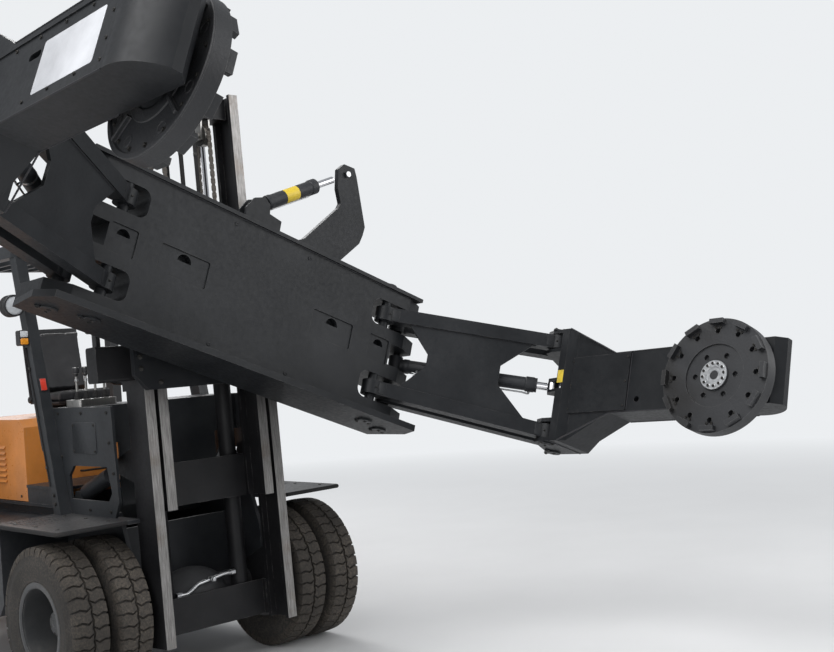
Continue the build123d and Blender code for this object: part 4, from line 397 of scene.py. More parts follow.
# Mesh making
class Shape:
    """Collects faces, and makes one piece of them."""

    def __init__(self):
        self.bm = bmesh.new()

    def ring(self, points):
        return [self.bm.verts.new(p) for p in points]

    def face(self, verts, slot=0):
        made = self.bm.faces.new(verts)
        made.material_index = slot
        return made

    def strip(self, a, b, slot=0, closed=True):
        count = len(a)
        for i in range(count if closed else count - 1):
            j = (i + 1) % count
            self.face((a[i], a[j], b[j], b[i]), slot)

    def rings(self, rows, slot=0, caps=(True, True), closed=True):
        made = [self.ring(r) for r in rows]
        for a, b in zip(made, made[1:]):
            self.strip(a, b, slot, closed)
        if caps[0]:
            self.face(list(reversed(made[0])), slot)
        if caps[1]:
            self.face(made[-1], slot)
        return made

    def turned(self, axes, outline, count=32, slot=0, caps=(True, True), start=0.0):
        """outline is (radius, distance along the frame's z) and is turned about it."""
        rows = []
        for radius, along in outline:
            rows.append([axes.at(radius * cos(start + 2 * pi * i / count),
                radius * sin(start + 2 * pi * i / count), along) for i in range(count)])
        return self.rings(rows, slot, caps)

    def band(self, axes, outline, count=32, slot=0):
        """Turned trim that lies on a surface, so it has no end faces."""
        return self.turned(axes, outline, count, slot, (False, False))

    def prism(self, axes, outline, low, high, chamfer=0.0, slot=0):
        """A flat outline in the frame's x and y between two heights, its top edge broken."""
        middle = Vector((sum(p[0] for p in outline), sum(p[1] for p in outline))) / len(outline)
        rows = [(low, 0.0)]
        if chamfer:
            rows += [(high - chamfer, 0.0), (high, chamfer)]
        else:
            rows += [(high, 0.0)]
        made = []
        for height, inset in rows:
            row = []
            for p in outline:
                q = Vector(p)
                d = q - middle
                q = q - Vector((inset * (1 if d.x > 0 else -1),
                    inset * (1 if d.y > 0 else -1))) if inset else q
                row.append(axes.at(q.x, q.y, height))
            made.append(row)
        return self.rings(made, slot)

    def block(self, axes, low, high, chamfer=0.0, slot=0):
        (a, b, c), (d, e, f) = low, high
        return self.prism(axes, [(a, b), (d, b), (d, e), (a, e)], c, f, chamfer, slot)

    def hexagon(self, axes, radius, height, slot=0):
        """A bolt head on a washer; the frame's z is the bolt's own axis."""
        self.turned(axes, [(1.3 * radius, 0.0), (1.3 * radius, 0.16 * height),
            (1.22 * radius, 0.2 * height)], 18, slot)
        self.turned(axes, [(radius, 0.18 * height), (radius, 0.88 * height), (0.84 * radius, height)], 6,
            slot)

    def socket_head(self, axes, radius, height, slot=0):
        self.turned(axes, [(radius, 0.0), (radius, 0.85 * height), (0.9 * radius, height),
            (0.55 * radius, height), (0.5 * radius, 0.45 * height)], 16, slot)

    def tube(self, points, radius, count=12, slot=0, caps=(True, True)):
        """A round tube along points."""
        points = [Vector(p) for p in points]
        turns = [2 * pi * k / count for k in range(count)]
        normal = None
        rows = []
        for i, p in enumerate(points):
            a = points[max(0, i - 1)]
            b = points[min(len(points) - 1, i + 1)]
            along = (b - a).normalized()
            if normal is None:
                normal = along.orthogonal().normalized()
            normal = (normal - along * normal.dot(along)).normalized()
            other = along.cross(normal)
            size = radius(i) if callable(radius) else radius
            rows.append([p + (normal * cos(t) + other * sin(t)) * size for t in turns])
        return self.rings(rows, slot, caps)

    def piece(self, name, materials, body, smooth=38.0):
        bmesh.ops.recalc_face_normals(self.bm, faces=self.bm.faces)
        data = bpy.data.meshes.new(name)
        self.bm.to_mesh(data)
        self.bm.free()
        for m in materials if isinstance(materials, (list, tuple)) else (materials,):
            data.materials.append(m)
        for p in data.polygons:
            p.use_smooth = True
        data.set_sharp_from_angle(angle=radians(smooth))
        made = bpy.data.objects.new(name, data)
        bpy.context.scene.collection.objects.link(made)
        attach(made, body)
        return made


def bend(points, radius, steps=8):
    """The points of a line with each corner rounded."""
    points = [Vector(p) for p in points]
    made = [points[0]]
    for a, b, c in zip(points, points[1:], points[2:]):
        into, out = (b - a).normalized(), (c - b).normalized()
        turn = into.angle(out)
        if turn < 0.02:
            made.append(b)
            continue
        back = min(radius * sin(turn / 2) / cos(turn / 2), 0.49 * (b - a).length, 0.49 * (c - b).length)
        p, q = b - into * back, b + out * back
        for i in range(steps + 1):
            t = i / steps
            made.append(p * (1 - t) ** 2 + b * (2 * t * (1 - t)) + q * t ** 2)
    made.append(points[-1])
    return made


# Tyres: a turned carcass with zig-zag blocks in two rows
PITCHES = 40
BLOCK_H = 0.019
SIDE_LINE = ((0.262, 0.100), (0.275, 0.106), (0.284, 0.112), (0.294, 0.118), (0.300, 0.1165),
    (0.330, 0.1225), (0.360, 0.1262), (0.385, 0.1275), (0.398, 0.1285), (0.402, 0.1262), (0.430, 0.1225),
    (0.448, 0.1185), (0.470, 0.1130), (0.484, 0.1060), (0.4885, 0.0960), (0.4905, 0.05))


def crown(v):
    return TYRE_R - 0.005 * min(1.0, abs(v) / 0.102) ** 2


def tyre(shape, x, y):
    """One tyre that stands on the floor at x, y."""
    axes = Axes((AXLE_X + x, y, TYRE_R), (1, 0, 0), (0, 1, 0))
    line = [(r, v) for r, v in SIDE_LINE] + [(0.491, 0.0)] + [(r, -v) for r, v in reversed(SIDE_LINE)]
    shape.band(axes, line, 96, 1)
    pitch = 2 * pi / PITCHES
    groove = 0.011 / TYRE_R
    lean = {0.0: 0.0, 0.032: 0.020, 0.070: 0.006, 0.104: 0.012}
    for half in (-1, 1):
        for i in range(PITCHES):
            start = pitch * (i + (0.5 if half > 0 else 0.0))
            low = [(start + groove / 2 + lean[v] / TYRE_R, max(v, 0.004)) for v in lean]
            high = [(start + pitch - groove / 2 + lean[v] / TYRE_R, max(v, 0.004)) for v in lean]
            inner = [(start + pitch / 2, 0.0125)]
            outer = [(start + pitch / 2 + 0.012 / TYRE_R, 0.104)]
            outline = low + outer + list(reversed(high)) + inner
            rows = []
            for level in range(3):
                row = []
                for angle, v in outline:
                    if v > 0.1:
                        r, w = ((0.452, 0.1195), (0.486, 0.1145), (0.5035, 0.1035))[level]
                    else:
                        r, w = ((TYRE_R - BLOCK_H, v), (crown(v) - 0.003, v), (crown(v), v))[level]
                    middle = start + pitch / 2 + 0.01 / TYRE_R
                    squeeze = (1.0, 0.975, 0.93)[level]
                    a = middle + (angle - middle) * squeeze
                    row.append(axes.at(r * cos(a), r * sin(a), half * w))
                rows.append(row)
            shape.rings(rows, 0, (False, True))


for side, sign in SIDES:
    s = Shape()
    tyre(s, 0.0, sign * FRONT_TRACK)
    tyre(s, 0.0, sign * INNER_TRACK)
    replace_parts(s.piece(f"treaded_front_tyres_{side}", [TYRE, TYRE_SIDE], f"wheel_front_{side}"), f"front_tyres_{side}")
    s = Shape()
    tyre(s, -WHEELBASE, sign * REAR_TRACK)
    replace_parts(s.piece(f"treaded_rear_tyre_{side}", [TYRE, TYRE_SIDE], f"wheel_rear_{side}"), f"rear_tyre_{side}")


# Places on faces, and the small things that are made again and again
def on(point, normal):
    """Axes that stand on a face, with z along its normal."""
    z = Vector(normal).normalized()
    return Axes(point, z.orthogonal(), z)


def bolts(shape, axes, places, radius, height=None, slot=0):
    for a, b in places:
        shape.hexagon(axes.moved(a, b, 0), radius, height or 0.72 * radius, slot)


def ring_places(radius, count, start=0.0):
    return [(radius * cos(start + 2 * pi * i / count),
        radius * sin(start + 2 * pi * i / count)) for i in range(count)]


def bead(shape, points, radius=0.0045, slot=0):
    """A weld bead: a thin tube that swells with each ripple."""
    points = [Vector(p) for p in points]
    row = []
    for a, b in zip(points, points[1:]):
        steps = max(2, int((b - a).length / 0.009))
        row += [a.lerp(b, i / steps) for i in range(steps)]
    row.append(points[-1])
    shape.tube(row, lambda i: radius * (1.0 + 0.16 * (i % 2)), 6, slot)


def rounded(width, height, radius, steps=4):
    """Outline of a plate with round corners."""
    made = []
    x, y = width / 2 - radius, height / 2 - radius
    for cx, cy, start in ((x, y, 0), (-x, y, 90), (-x, -y, 180), (x, -y, 270)):
        for i in range(steps + 1):
            angle = radians(start + 90 * i / steps)
            made.append((cx + radius * cos(angle), cy + radius * sin(angle)))
    return made


def pin_cap(shape, axes, radius=0.050, keeper=(1.0, 0.0)):
    """The head of a hinge pin, with its keeper plate, two bolts and a grease nipple."""
    shape.turned(axes, [(radius, 0.0), (radius, 0.009), (radius - 0.004, 0.013), (0.016, 0.013),
        (0.012, 0.009)], 28, 0)
    shape.turned(axes, [(0.005, 0.009), (0.005, 0.018), (0.003, 0.022)], 8, 1)
    x = axes.way(keeper[0], keeper[1], 0)
    plate = Axes(axes.at(1.05 * radius * keeper[0], 1.05 * radius * keeper[1], 0.0), x, axes.z)
    shape.prism(plate, rounded(0.036, 0.118, 0.012), 0.0, 0.010, 0.002, 0)
    bolts(shape, plate.moved(0.004, 0, 0.010), ((0, 0.042), (0, -0.042)), 0.0095, slot=1)


# Wheels: lock rings, nuts, hub caps and valves
for side, sign in SIDES:
    for body, x, disc, centre, cap, nuts in ((f"wheel_front_{side}", 0.0, 0.875, FRONT_TRACK, 1.003, 10),
        (f"wheel_rear_{side}", -WHEELBASE, 0.950, REAR_TRACK, 1.020, 8)):
        s = Shape()
        face = Axes((AXLE_X + x, 0, TYRE_R), (1, 0, 0), (0, sign, 0))
        edge = centre + 0.1120
        s.band(face, [(0.2500, edge - 0.016), (0.2500, edge), (0.2560, edge + 0.004),
            (0.2790, edge + 0.004), (0.2835, edge), (0.2835, edge - 0.006)], 72, 0)
        s.band(face, [(0.2450, edge - 0.030), (0.2450, edge - 0.012), (0.2520, edge - 0.006),
            (0.2560, edge - 0.008)], 72, 0)
        outer = face.moved(0, 0, disc)
        s.band(outer, [(0.1760, 0.0), (0.1760, 0.006), (0.1730, 0.009), (0.1265, 0.009), (0.1235, 0.006),
            (0.1235, 0.0)], 64, 0)
        for a, b in ring_places(0.150, nuts, 0.2):
            place = outer.moved(a, b, 0.009)
            s.turned(place, [(0.021, 0.0), (0.0195, 0.006), (0.0165, 0.008), (0.0165, 0.022),
                (0.014, 0.026)], 6, 1)
            s.turned(place, [(0.0105, 0.02), (0.0105, 0.038), (0.009, 0.041)], 12, 1)
        end = face.moved(0, 0, cap)
        s.turned(end, [(0.0725, -0.004), (0.0725, 0.005), (0.069, 0.009), (0.050, 0.0105),
            (0.030, 0.0095), (0.028, 0.006)], 36, 0)
        bolts(s, end.moved(0, 0, 0.009), ring_places(0.060, 6, 0.4), 0.0065, slot=1)
        stem = face.at(0.205, 0.0, centre + 0.066)
        course = [face.at(0.240, 0.0, centre - 0.03), face.at(0.232, 0.0, centre + 0.02), stem]
        s.tube(bend(course, 0.03), 0.0042, 8, 1)
        s.turned(on(stem, face.way(-0.5, 0, 0.85)), [(0.006, -0.004), (0.006, 0.014), (0.004, 0.017)], 10,
            2)
        s.piece(f"wheel_trim_{body[6:]}", [RIM_GREY, BOLT_BLACK, BLACK_PLASTIC], body)


# Pads: bright hub plate with its ring of bolts, tooth bolts, hole collars and the trim of the back
for side, sign in SIDES:
    arm = arm_frame(sign)
    face = Axes(arm.at(PAD_REACH, sign * PAD_FACE, -PAD_DROP), arm.x, arm.y * -sign)
    s = Shape()
    s.turned(face, [(0.0935, -0.004), (0.0935, 0.006), (0.0915, 0.008), (0.0530, 0.008), (0.0500, 0.005),
        (0.0500, 0.002), (0.0300, 0.002), (0.0270, -0.002)], 64, 0)
    for a, b in ring_places(0.0735, 12, 0.13):
        s.turned(face.moved(a, b, 0.008), [(0.0105, 0.0), (0.0105, 0.0015), (0.0100, 0.0018)], 16, 0)
        s.turned(face.moved(a, b, 0.0095), [(0.0088, 0.0), (0.0088, 0.0062), (0.0078, 0.0072),
            (0.0044, 0.0072), (0.0040, 0.0025)], 12, 1)
    s.piece(f"pad_hub_{side}", [ZINC, BOLT_BLACK], f"pad_{side}")
    s = Shape()
    for i in range(12):
        angle = 2 * pi * i / 12
        for shift in (-0.055, 0.055):
            r = 0.3075
            at = face.moved(r * cos(angle + shift), r * sin(angle + shift), 0.0)
            s.socket_head(at, 0.0085, 0.008, 0)
    for i in range(12):
        angle = 2 * pi * (i + 0.5) / 12
        s.band(face.moved(0.2863 * cos(angle - pi / 12), 0.2863 * sin(angle - pi / 12), 0.0),
            [(0.0195, -0.002), (0.0195, 0.0015), (0.0180, 0.0025), (0.0172, 0.0015), (0.0172, -0.006)],
            20, 1)
    for i in range(6):
        angle = 2 * pi * i / 6
        s.band(face.moved(0.1395 * cos(angle), 0.1395 * sin(angle), -0.012),
            [(0.0195, -0.002), (0.0195, 0.0015), (0.0180, 0.0025), (0.0172, 0.0015), (0.0172, -0.006)],
            20, 1)
    back = Axes(face.at(0, 0, -PAD_RIM), face.x, -face.z)
    s.band(back, [(0.3665, -0.004), (0.3665, 0.006), (0.3635, 0.009), (0.3440, 0.009), (0.3410, 0.006),
        (0.3360, -0.002)], 96, 1)
    s.band(back, [(0.2100, -0.001), (0.2060, 0.005), (0.1990, 0.007), (0.1560, 0.007), (0.1530, -0.001)],
        72, 1)
    for a, b in ring_places(0.3200, 16, 0.1):
        s.turned(back.moved(a, b, 0), [(0.0125, 0.0), (0.0125, 0.002), (0.0085, 0.002), (0.0085, 0.008),
            (0.007, 0.0095)], 12, 0)
    for i in range(4):
        angle = 2 * pi * (i + 0.5) / 4
        out = Axes(back.origin, back.way(cos(angle), sin(angle), 0), back.z)
        s.prism(Axes(out.at(0, 0, 0), out.x, out.z), [(0.212, -0.008), (0.338, -0.008), (0.338, 0.008),
            (0.212, 0.008)], -0.001, 0.022, 0.003, 1)
        for edge in (-0.0085, 0.0085):
            bead(s, (out.at(0.212, edge, 0.0005), out.at(0.336, edge, 0.0005)), 0.004, 2)
        for edge in (-0.030, 0.030):
            s.band(out.moved(0.275, 3.2 * edge, 0), [(0.0300, -0.001), (0.0300, 0.0014), (0.0280, 0.0022),
                (0.0210, 0.0022), (0.0200, -0.001)], 28, 1)
    s.piece(f"pad_trim_{side}", [BOLT_BLACK, PAD_CAST, WELD], f"pad_{side}")


# Arms: pin heads, cover screws, blank plates, weld beads, grease nipples
for side, sign in SIDES:
    arm = arm_frame(sign)
    s = Shape()
    for up in (1, -1):
        for f, u in ((0.0, 0.0), (-0.100, 0.220)):
            cap = Axes(arm.at(f, sign * u, up * 0.405), arm.x, arm.z * up)
            pin_cap(s, cap, 0.048, (-0.72, -0.69 * sign * up) if u else (0.78, -0.62 * sign * up))
    for f in (0.345, 0.57, 0.80, 1.03, 1.26, 1.465):
        for w in (-0.155, 0.155):
            s.socket_head(on(arm.at(f, sign * 0.228, w), arm.y * sign), 0.0085, 0.006, 1)
    for w in (-0.06, 0.06):
        for f in (0.345, 1.465):
            s.socket_head(on(arm.at(f, sign * 0.228, w), arm.y * sign), 0.0085, 0.006, 1)
    for f in (0.175, 0.64):
        for w in (-0.17, 0.0, 0.17):
            s.socket_head(on(arm.at(f, sign * -0.019, w), arm.y * -sign), 0.0075, 0.005, 1)
    # beads along the raised panel, the yoke and the tail
    for w in (-0.2015, 0.2015):
        bead(s, (arm.at(0.19, sign * -0.0055, w), arm.at(0.660, sign * -0.0055, w)), 0.0045, 2)
    bead(s, (arm.at(0.6615, sign * -0.0055, -0.195), arm.at(0.6615, sign * -0.0055, 0.195)), 0.0045, 2)
    for w in (-1, 1):
        bead(s, (arm.at(0.155, sign * -0.0695, w * 0.4045), arm.at(0.525, sign * -0.0045, w * 0.2105)),
            0.005, 2)
        bead(s, (arm.at(0.530, sign * 0.2345, w * 0.2095), arm.at(1.505, sign * 0.2345, w * 0.2095)),
            0.004, 2)
        bead(s, (arm.at(0.530, sign * -0.0045, w * 0.2095), arm.at(1.230, sign * -0.0045, w * 0.2095)),
            0.004, 2)
        for low in (0.265, 0.379):
            bead(s, (arm.at(0.0845, sign * -0.066, w * low), arm.at(0.0845, sign * 0.288, w * low)),
                0.005, 2)
            bead(s, (arm.at(0.0845, sign * -0.066, w * (low + 0.026)), arm.at(0.0845, sign * 0.288,
                w * (low + 0.026))), 0.005, 2)
    for f in (0.70, 1.10):
        s.turned(on(arm.at(f, sign * 0.115, 0.210), arm.z), [(0.022, 0.0), (0.022, 0.012), (0.018, 0.015),
            (0.010, 0.015), (0.009, 0.006)], 20, 0)
    s.piece(f"arm_trim_{side}", [HANDLER_PAINT, BOLT_BLACK, WELD], f"arm_{side}")
    s = Shape()
    s.prism(Axes(arm.at(1.13, sign * 0.2282, -0.015), arm.x, arm.y * sign), rounded(0.520, 0.255, 0.012),
        0.0, 0.0010, 0.0004)
    s.piece(f"blank_sticker_{side}", WHITE_PLATE, f"arm_{side}")
    s = Shape()
    s.prism(Axes(arm.at(0.115, sign * -0.0702, 0.055), arm.x, arm.y * -sign),
        rounded(0.050, 0.092, 0.004), 0.0, 0.0010, 0.0004)
    s.piece(f"blank_label_{side}", YELLOW_PLATE, f"arm_{side}")


# Links: end caps on the bars, weld beads between web and bars, grease nipples
BODY_PIN_W = 0.266
for side, sign in SIDES:
    for body, link in ((f"link_{side}", link_frame(sign)),
        (f"rear_link_{side}", link_frame(sign, PIN_F - 0.100, PIN_U + 0.220))):
        s = Shape()
        for w in (-1, 1):
            low, high = BODY_PIN_W * w, ARM_PIN_W * w
            for t, centre in ((0.0, low), (LINK_L, high)):
                for end in (1, -1):
                    face = Axes(link.at(t, 0, centre + end * 0.048), link.x, link.z * end)
                    s.band(face, [(0.066, -0.002), (0.066, 0.0012), (0.062, 0.0018), (0.040, 0.0018),
                        (0.039, -0.002)], 36, 0)
                nip = on(link.at(t + (0.067 if t == 0.0 else -0.067) * 0.5, sign * -0.0585, centre),
                    link.y * -sign)
                s.turned(nip, [(0.0065, -0.002), (0.0065, 0.006), (0.0035, 0.008), (0.0045, 0.013),
                    (0.003, 0.016)], 10, 1)
            if body.startswith("link"):
                slope = (high - low) / LINK_L
                for off in (0.0145, 0.0335):
                    a = low - w * 0.0475 + slope * WEB_FROM
                    b = low - w * 0.0475 + slope * WEB_TO
                    bead(s, (link.at(WEB_FROM, sign * -off, a), link.at(WEB_TO, sign * -off, b)), 0.0045,
                        2)
            # cap plates that close the bars' outer ends
            for t, centre in ((0.075, low), (LINK_L - 0.075, high)):
                for off in (-0.0482, 0.0482):
                    s.prism(Axes(link.at(t, off, centre), link.x, link.y * (1 if off > 0 else -1)),
                        rounded(0.055, 0.080, 0.010), 0.0, 0.0022, 0.0008, 0)
        s.piece(f"{body}_trim", [HANDLER_PAINT, BOLT_BLACK, WELD], body)


# Beam: pin heads, bolts of the turning flange, edge beads and lifting eyes
s = Shape()
for u in (-1, 1):
    for w in (-1, 1):
        level = w * (0.451 + (0.025 if w > 0 else 0.042))
        for f, du in ((0.600, 1.050), (0.500, 1.270)):
            cap = Axes(HANDLER.at(f, u * du, level), HANDLER.x, HANDLER.z * w)
            pin_cap(s, cap, 0.050, (-0.9, 0.43 * w * u))
for a in (-1, 1):
    bead(s, (HANDLER.at(0.6375, a * 1.225, 0.4515), HANDLER.at(0.6375, 0, 0.4515)), 0.0055, 2)
    bead(s, (HANDLER.at(0.6375, a * 1.225, -0.4515), HANDLER.at(0.6375, 0, -0.4515)), 0.0055, 2)
for u in (-0.78, 0.92):
    points = [HANDLER.at(0.44 + 0.055 * cos(pi * i / 12), u,
        0.474 + 0.07 * sin(pi * i / 12)) for i in range(13)]
    s.tube(points, 0.011, 10, 0)
flange = Axes(HANDLER.at(0.166, 0, 0), HANDLER.z, HANDLER.x * -1)
for a, b in ring_places(0.4135, 24):
    s.turned(flange.moved(a, b, 0), [(0.0115, 0.0), (0.0115, 0.009), (0.009, 0.011)], 6, 1)
front = Axes(HANDLER.at(0.637, 0, 0), HANDLER.y, HANDLER.x)
for u, w in ((0.30, 0.40), (-0.30, 0.40), (0.30, -0.40), (-0.30, -0.40)):
    s.turned(front.moved(u, w, 0), [(0.014, 0.0), (0.014, 0.002), (0.0125, 0.003), (0.006, 0.003),
        (0.005, 0.0005)], 20, 0)
s.piece("beam_trim", [HANDLER_PAINT, BOLT_BLACK, WELD], "handler")


# Stay hook and its cylinder: pipes, fittings, blank band
FOOT = HANDLER.at(0.420, -0.033, 0.682)
TIP = HANDLER.at(0.420, 0.600, 1.190)
stay = Axes(FOOT, HANDLER.x, TIP - FOOT)
s = Shape()
s.band(stay, [(0.0485, 0.058), (0.0515, 0.064), (0.0515, 0.092), (0.0485, 0.098)], 32, 0)
s.turned(stay, [(0.0485, 0.452), (0.0535, 0.458), (0.0535, 0.508), (0.050, 0.512), (0.028, 0.512),
    (0.0265, 0.507)], 32, 0, (False, True))
for turn, start, end in ((2.3, 0.078, 0.482), (3.0, 0.090, 0.130)):
    c, d = cos(turn), sin(turn)
    out = lambda r, z: stay.at(r * c, r * d, z)
    s.turned(on(out(0.050, end), stay.way(c, d, 0)), [(0.011, -0.004), (0.011, 0.014), (0.009, 0.017)], 6,
        1)
    s.tube(bend([out(0.060, end), out(0.074, end - 0.012 if end > 0.3 else end + 0.02),
        out(0.070, start + 0.05), out(0.072, start - 0.02)], 0.02), 0.0052, 10, 1)
s.piece("stay_pipes", [FRAME_PAINT, ZINC], "stay_barrel")
s = Shape()
rows = []
for z in (0.215, 0.218, 0.330, 0.333):
    rows.append([stay.at((0.0488 if z in (0.218, 0.330) else 0.0481) * cos(radians(g)),
        (0.0488 if z in (0.218, 0.330) else 0.0481) * sin(radians(g)), z) for g in range(-78, 79, 6)])
s.rings(rows, 0, (False, False), False)
s.piece("blank_band", YELLOW_PLATE, "stay_barrel")
s = Shape()
for f in (0.420 - 0.0365, 0.420 + 0.0365):
    face = Axes(HANDLER.at(f, 0.600, 1.190), HANDLER.y, HANDLER.x * (1 if f > 0.42 else -1))
    s.turned(face, [(0.0215, -0.001), (0.0215, 0.005), (0.019, 0.007)], 24, 1)
for f, w in ((0.3995, -1), (0.4405, 1)):
    face = Axes(HANDLER.at(f, 0.300, 0.395), HANDLER.y, HANDLER.x * w)
    s.band(face, [(0.060, -0.0005), (0.060, 0.0012), (0.057, 0.002), (0.030, 0.002), (0.028, -0.0005)],
        36, 0)
s.piece("hook_trim", [HANDLER_PAINT, ZINC], "stay_hook")


# Swing cylinders: gland, end collar, oil pipe with its fittings
for side, sign in SIDES:
    start = HANDLER.at(0.470, sign * 1.335, 0)
    finish = HANDLER.at(ARM_PIN_F, sign * ARM_PIN_U, 0)
    swing = Axes(start, HANDLER.z, finish - start)
    s = Shape()
    s.turned(swing, [(0.0485, 0.940), (0.0545, 0.946), (0.0545, 1.000), (0.0510, 1.006), (0.0510, 1.024),
        (0.031, 1.024), (0.029, 1.019)], 36, 0, (False, True))
    s.band(swing, [(0.0485, 0.060), (0.0520, 0.066), (0.0520, 0.100), (0.0485, 0.106)], 32, 0)
    for angle, end in ((2.4, 0.972), (-2.4, 0.170)):
        c, d = cos(angle), sin(angle) * -sign
        out = lambda r, z: swing.at(r * c, r * d, z)
        s.turned(on(out(0.048, end), swing.way(c, d, 0)), [(0.0125, -0.004), (0.0125, 0.014),
            (0.0105, 0.018)], 6, 1)
        s.tube(bend([out(0.060, end), out(0.078, end),
            out(0.070, end - 0.05 if end > 0.5 else end - 0.03), out(0.066, 0.135)], 0.022), 0.0062, 10,
            1)
    for z in (0.36, 0.66):
        s.band(swing, [(0.0487, z), (0.0505, z + 0.002), (0.0505, z + 0.016), (0.0487, z + 0.018)], 32, 1)
        c, d = cos(2.4), sin(2.4) * -sign
        s.block(Axes(swing.at(0.060 * c, 0.060 * d, z), swing.way(c, d, 0), swing.z),
            (-0.012, -0.010, 0.0), (0.016, 0.010, 0.018), 0.002, 1)
    s.piece(f"swing_pipes_{side}", [FRAME_PAINT, ZINC], f"swing_barrel_{side}")


# Leaf chains of the lift, over the head pulleys
CHAIN_PITCH = 0.0254
PULLEY_AT, CHAIN_BEND_R = (-0.130, 3.690), 0.082
CHAIN_FRONT_END, CHAIN_REAR_END = 2.303, 2.900


def chain_place(along):
    """Point and direction on the chain's line, so far from its front end."""
    up_run = PULLEY_AT[1] - CHAIN_FRONT_END
    arc = pi * CHAIN_BEND_R
    if along < up_run:
        return PULLEY_AT[0] + CHAIN_BEND_R, CHAIN_FRONT_END + along
    if along < up_run + arc:
        angle = (along - up_run) / CHAIN_BEND_R
        return PULLEY_AT[0] + CHAIN_BEND_R * cos(angle), PULLEY_AT[1] + CHAIN_BEND_R * sin(angle)
    return PULLEY_AT[0] - CHAIN_BEND_R, PULLEY_AT[1] - (along - up_run - arc)


s = Shape()
chain_length = 2 * PULLEY_AT[1] - CHAIN_FRONT_END - CHAIN_REAR_END + pi * CHAIN_BEND_R
for y in (-0.190, 0.190):
    for link in range(int(chain_length / CHAIN_PITCH)):
        (f0, h0), (f1, h1) = chain_place(link * CHAIN_PITCH), chain_place((link + 1) * CHAIN_PITCH)
        start, end = MAST.at(f0, y, h0), MAST.at(f1, y, h1)
        plate = Axes(start, end - start, MAST.y)
        half = 0.0062
        outline = [(-half * sin(pi * k / 4), half * cos(pi * k / 4)) for k in range(5)]
        outline += [(CHAIN_PITCH + half * sin(pi * k / 4), -half * cos(pi * k / 4)) for k in range(5)]
        rows = (-0.0150, -0.0060, 0.0030, 0.0120) if link % 2 else (-0.0105, -0.0015, 0.0075)
        for low in rows:
            s.rings([[plate.at(a, b, low) for a, b in outline], [plate.at(a, b, low + 0.0030) for a,
                b in outline]])
        s.turned(plate, [(0.0036, -0.0168), (0.0036, 0.0168)], 8, 0)
for y in (-0.190, 0.190):
    anchor = MAST.moved(PULLEY_AT[0] + CHAIN_BEND_R, y, CHAIN_FRONT_END - 0.0005)
    s.turned(anchor, [(0.011, 0.0), (0.011, 0.030)], 12, 1)
    s.turned(anchor, [(0.0165, 0.002), (0.0165, 0.014)], 6, 1)
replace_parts(s.piece("leaf_chains", [CHAIN, ZINC], "inner_mast"), "lift_chains")


# Pulleys and hose ends at the mast's head
s = Shape()
for sign in (1, -1):
    end = Axes(MAST.at(PULLEY_AT[0], sign * 0.2355, PULLEY_AT[1]), MAST.x, MAST.y * sign)
    s.hexagon(end, 0.017, 0.013, 0)
    for y in (0.190, 0.060):
        for edge in (-1, 1):
            wide = 0.023 if y > 0.1 else 0.020
            rim = Axes(MAST.at(PULLEY_AT[0], sign * y + edge * wide, PULLEY_AT[1]), MAST.x, MAST.y * edge)
            s.band(rim, [(0.0735, -0.001), (0.0735, 0.002), (0.0700, 0.003), (0.0600, 0.0015),
                (0.0400, 0.0015), (0.0380, 0.003), (0.0280, 0.003)], 40, 1)
    tip = MAST.moved(-0.042, sign * 0.060, 2.303)
    s.turned(tip, [(0.0150, 0.0), (0.0175, 0.004), (0.0170, 0.030), (0.0155, 0.055), (0.0135, 0.060)], 16,
        0)
    s.turned(tip, [(0.0200, 0.002), (0.0200, 0.020)], 6, 0)
    for h in (2.75, 3.15, 3.52):
        clip = MAST.moved(-0.042, sign * 0.060, h)
        s.band(clip, [(0.0133, 0.0), (0.0148, 0.002), (0.0148, 0.022), (0.0133, 0.024)], 16, 1)
s.piece("mast_head_trim", [ZINC, BOLT_BLACK], "inner_mast")


# Lamps: lenses, rims and cooling fins; reflectors on the posts
POST_FOOT, POST_HEAD, POST_LOW, POST_HIGH = -0.520, -0.960, 1.126, 2.960


def post_x(z):
    return POST_FOOT + (POST_HEAD - POST_FOOT) * (z - POST_LOW) / (POST_HIGH - POST_LOW)


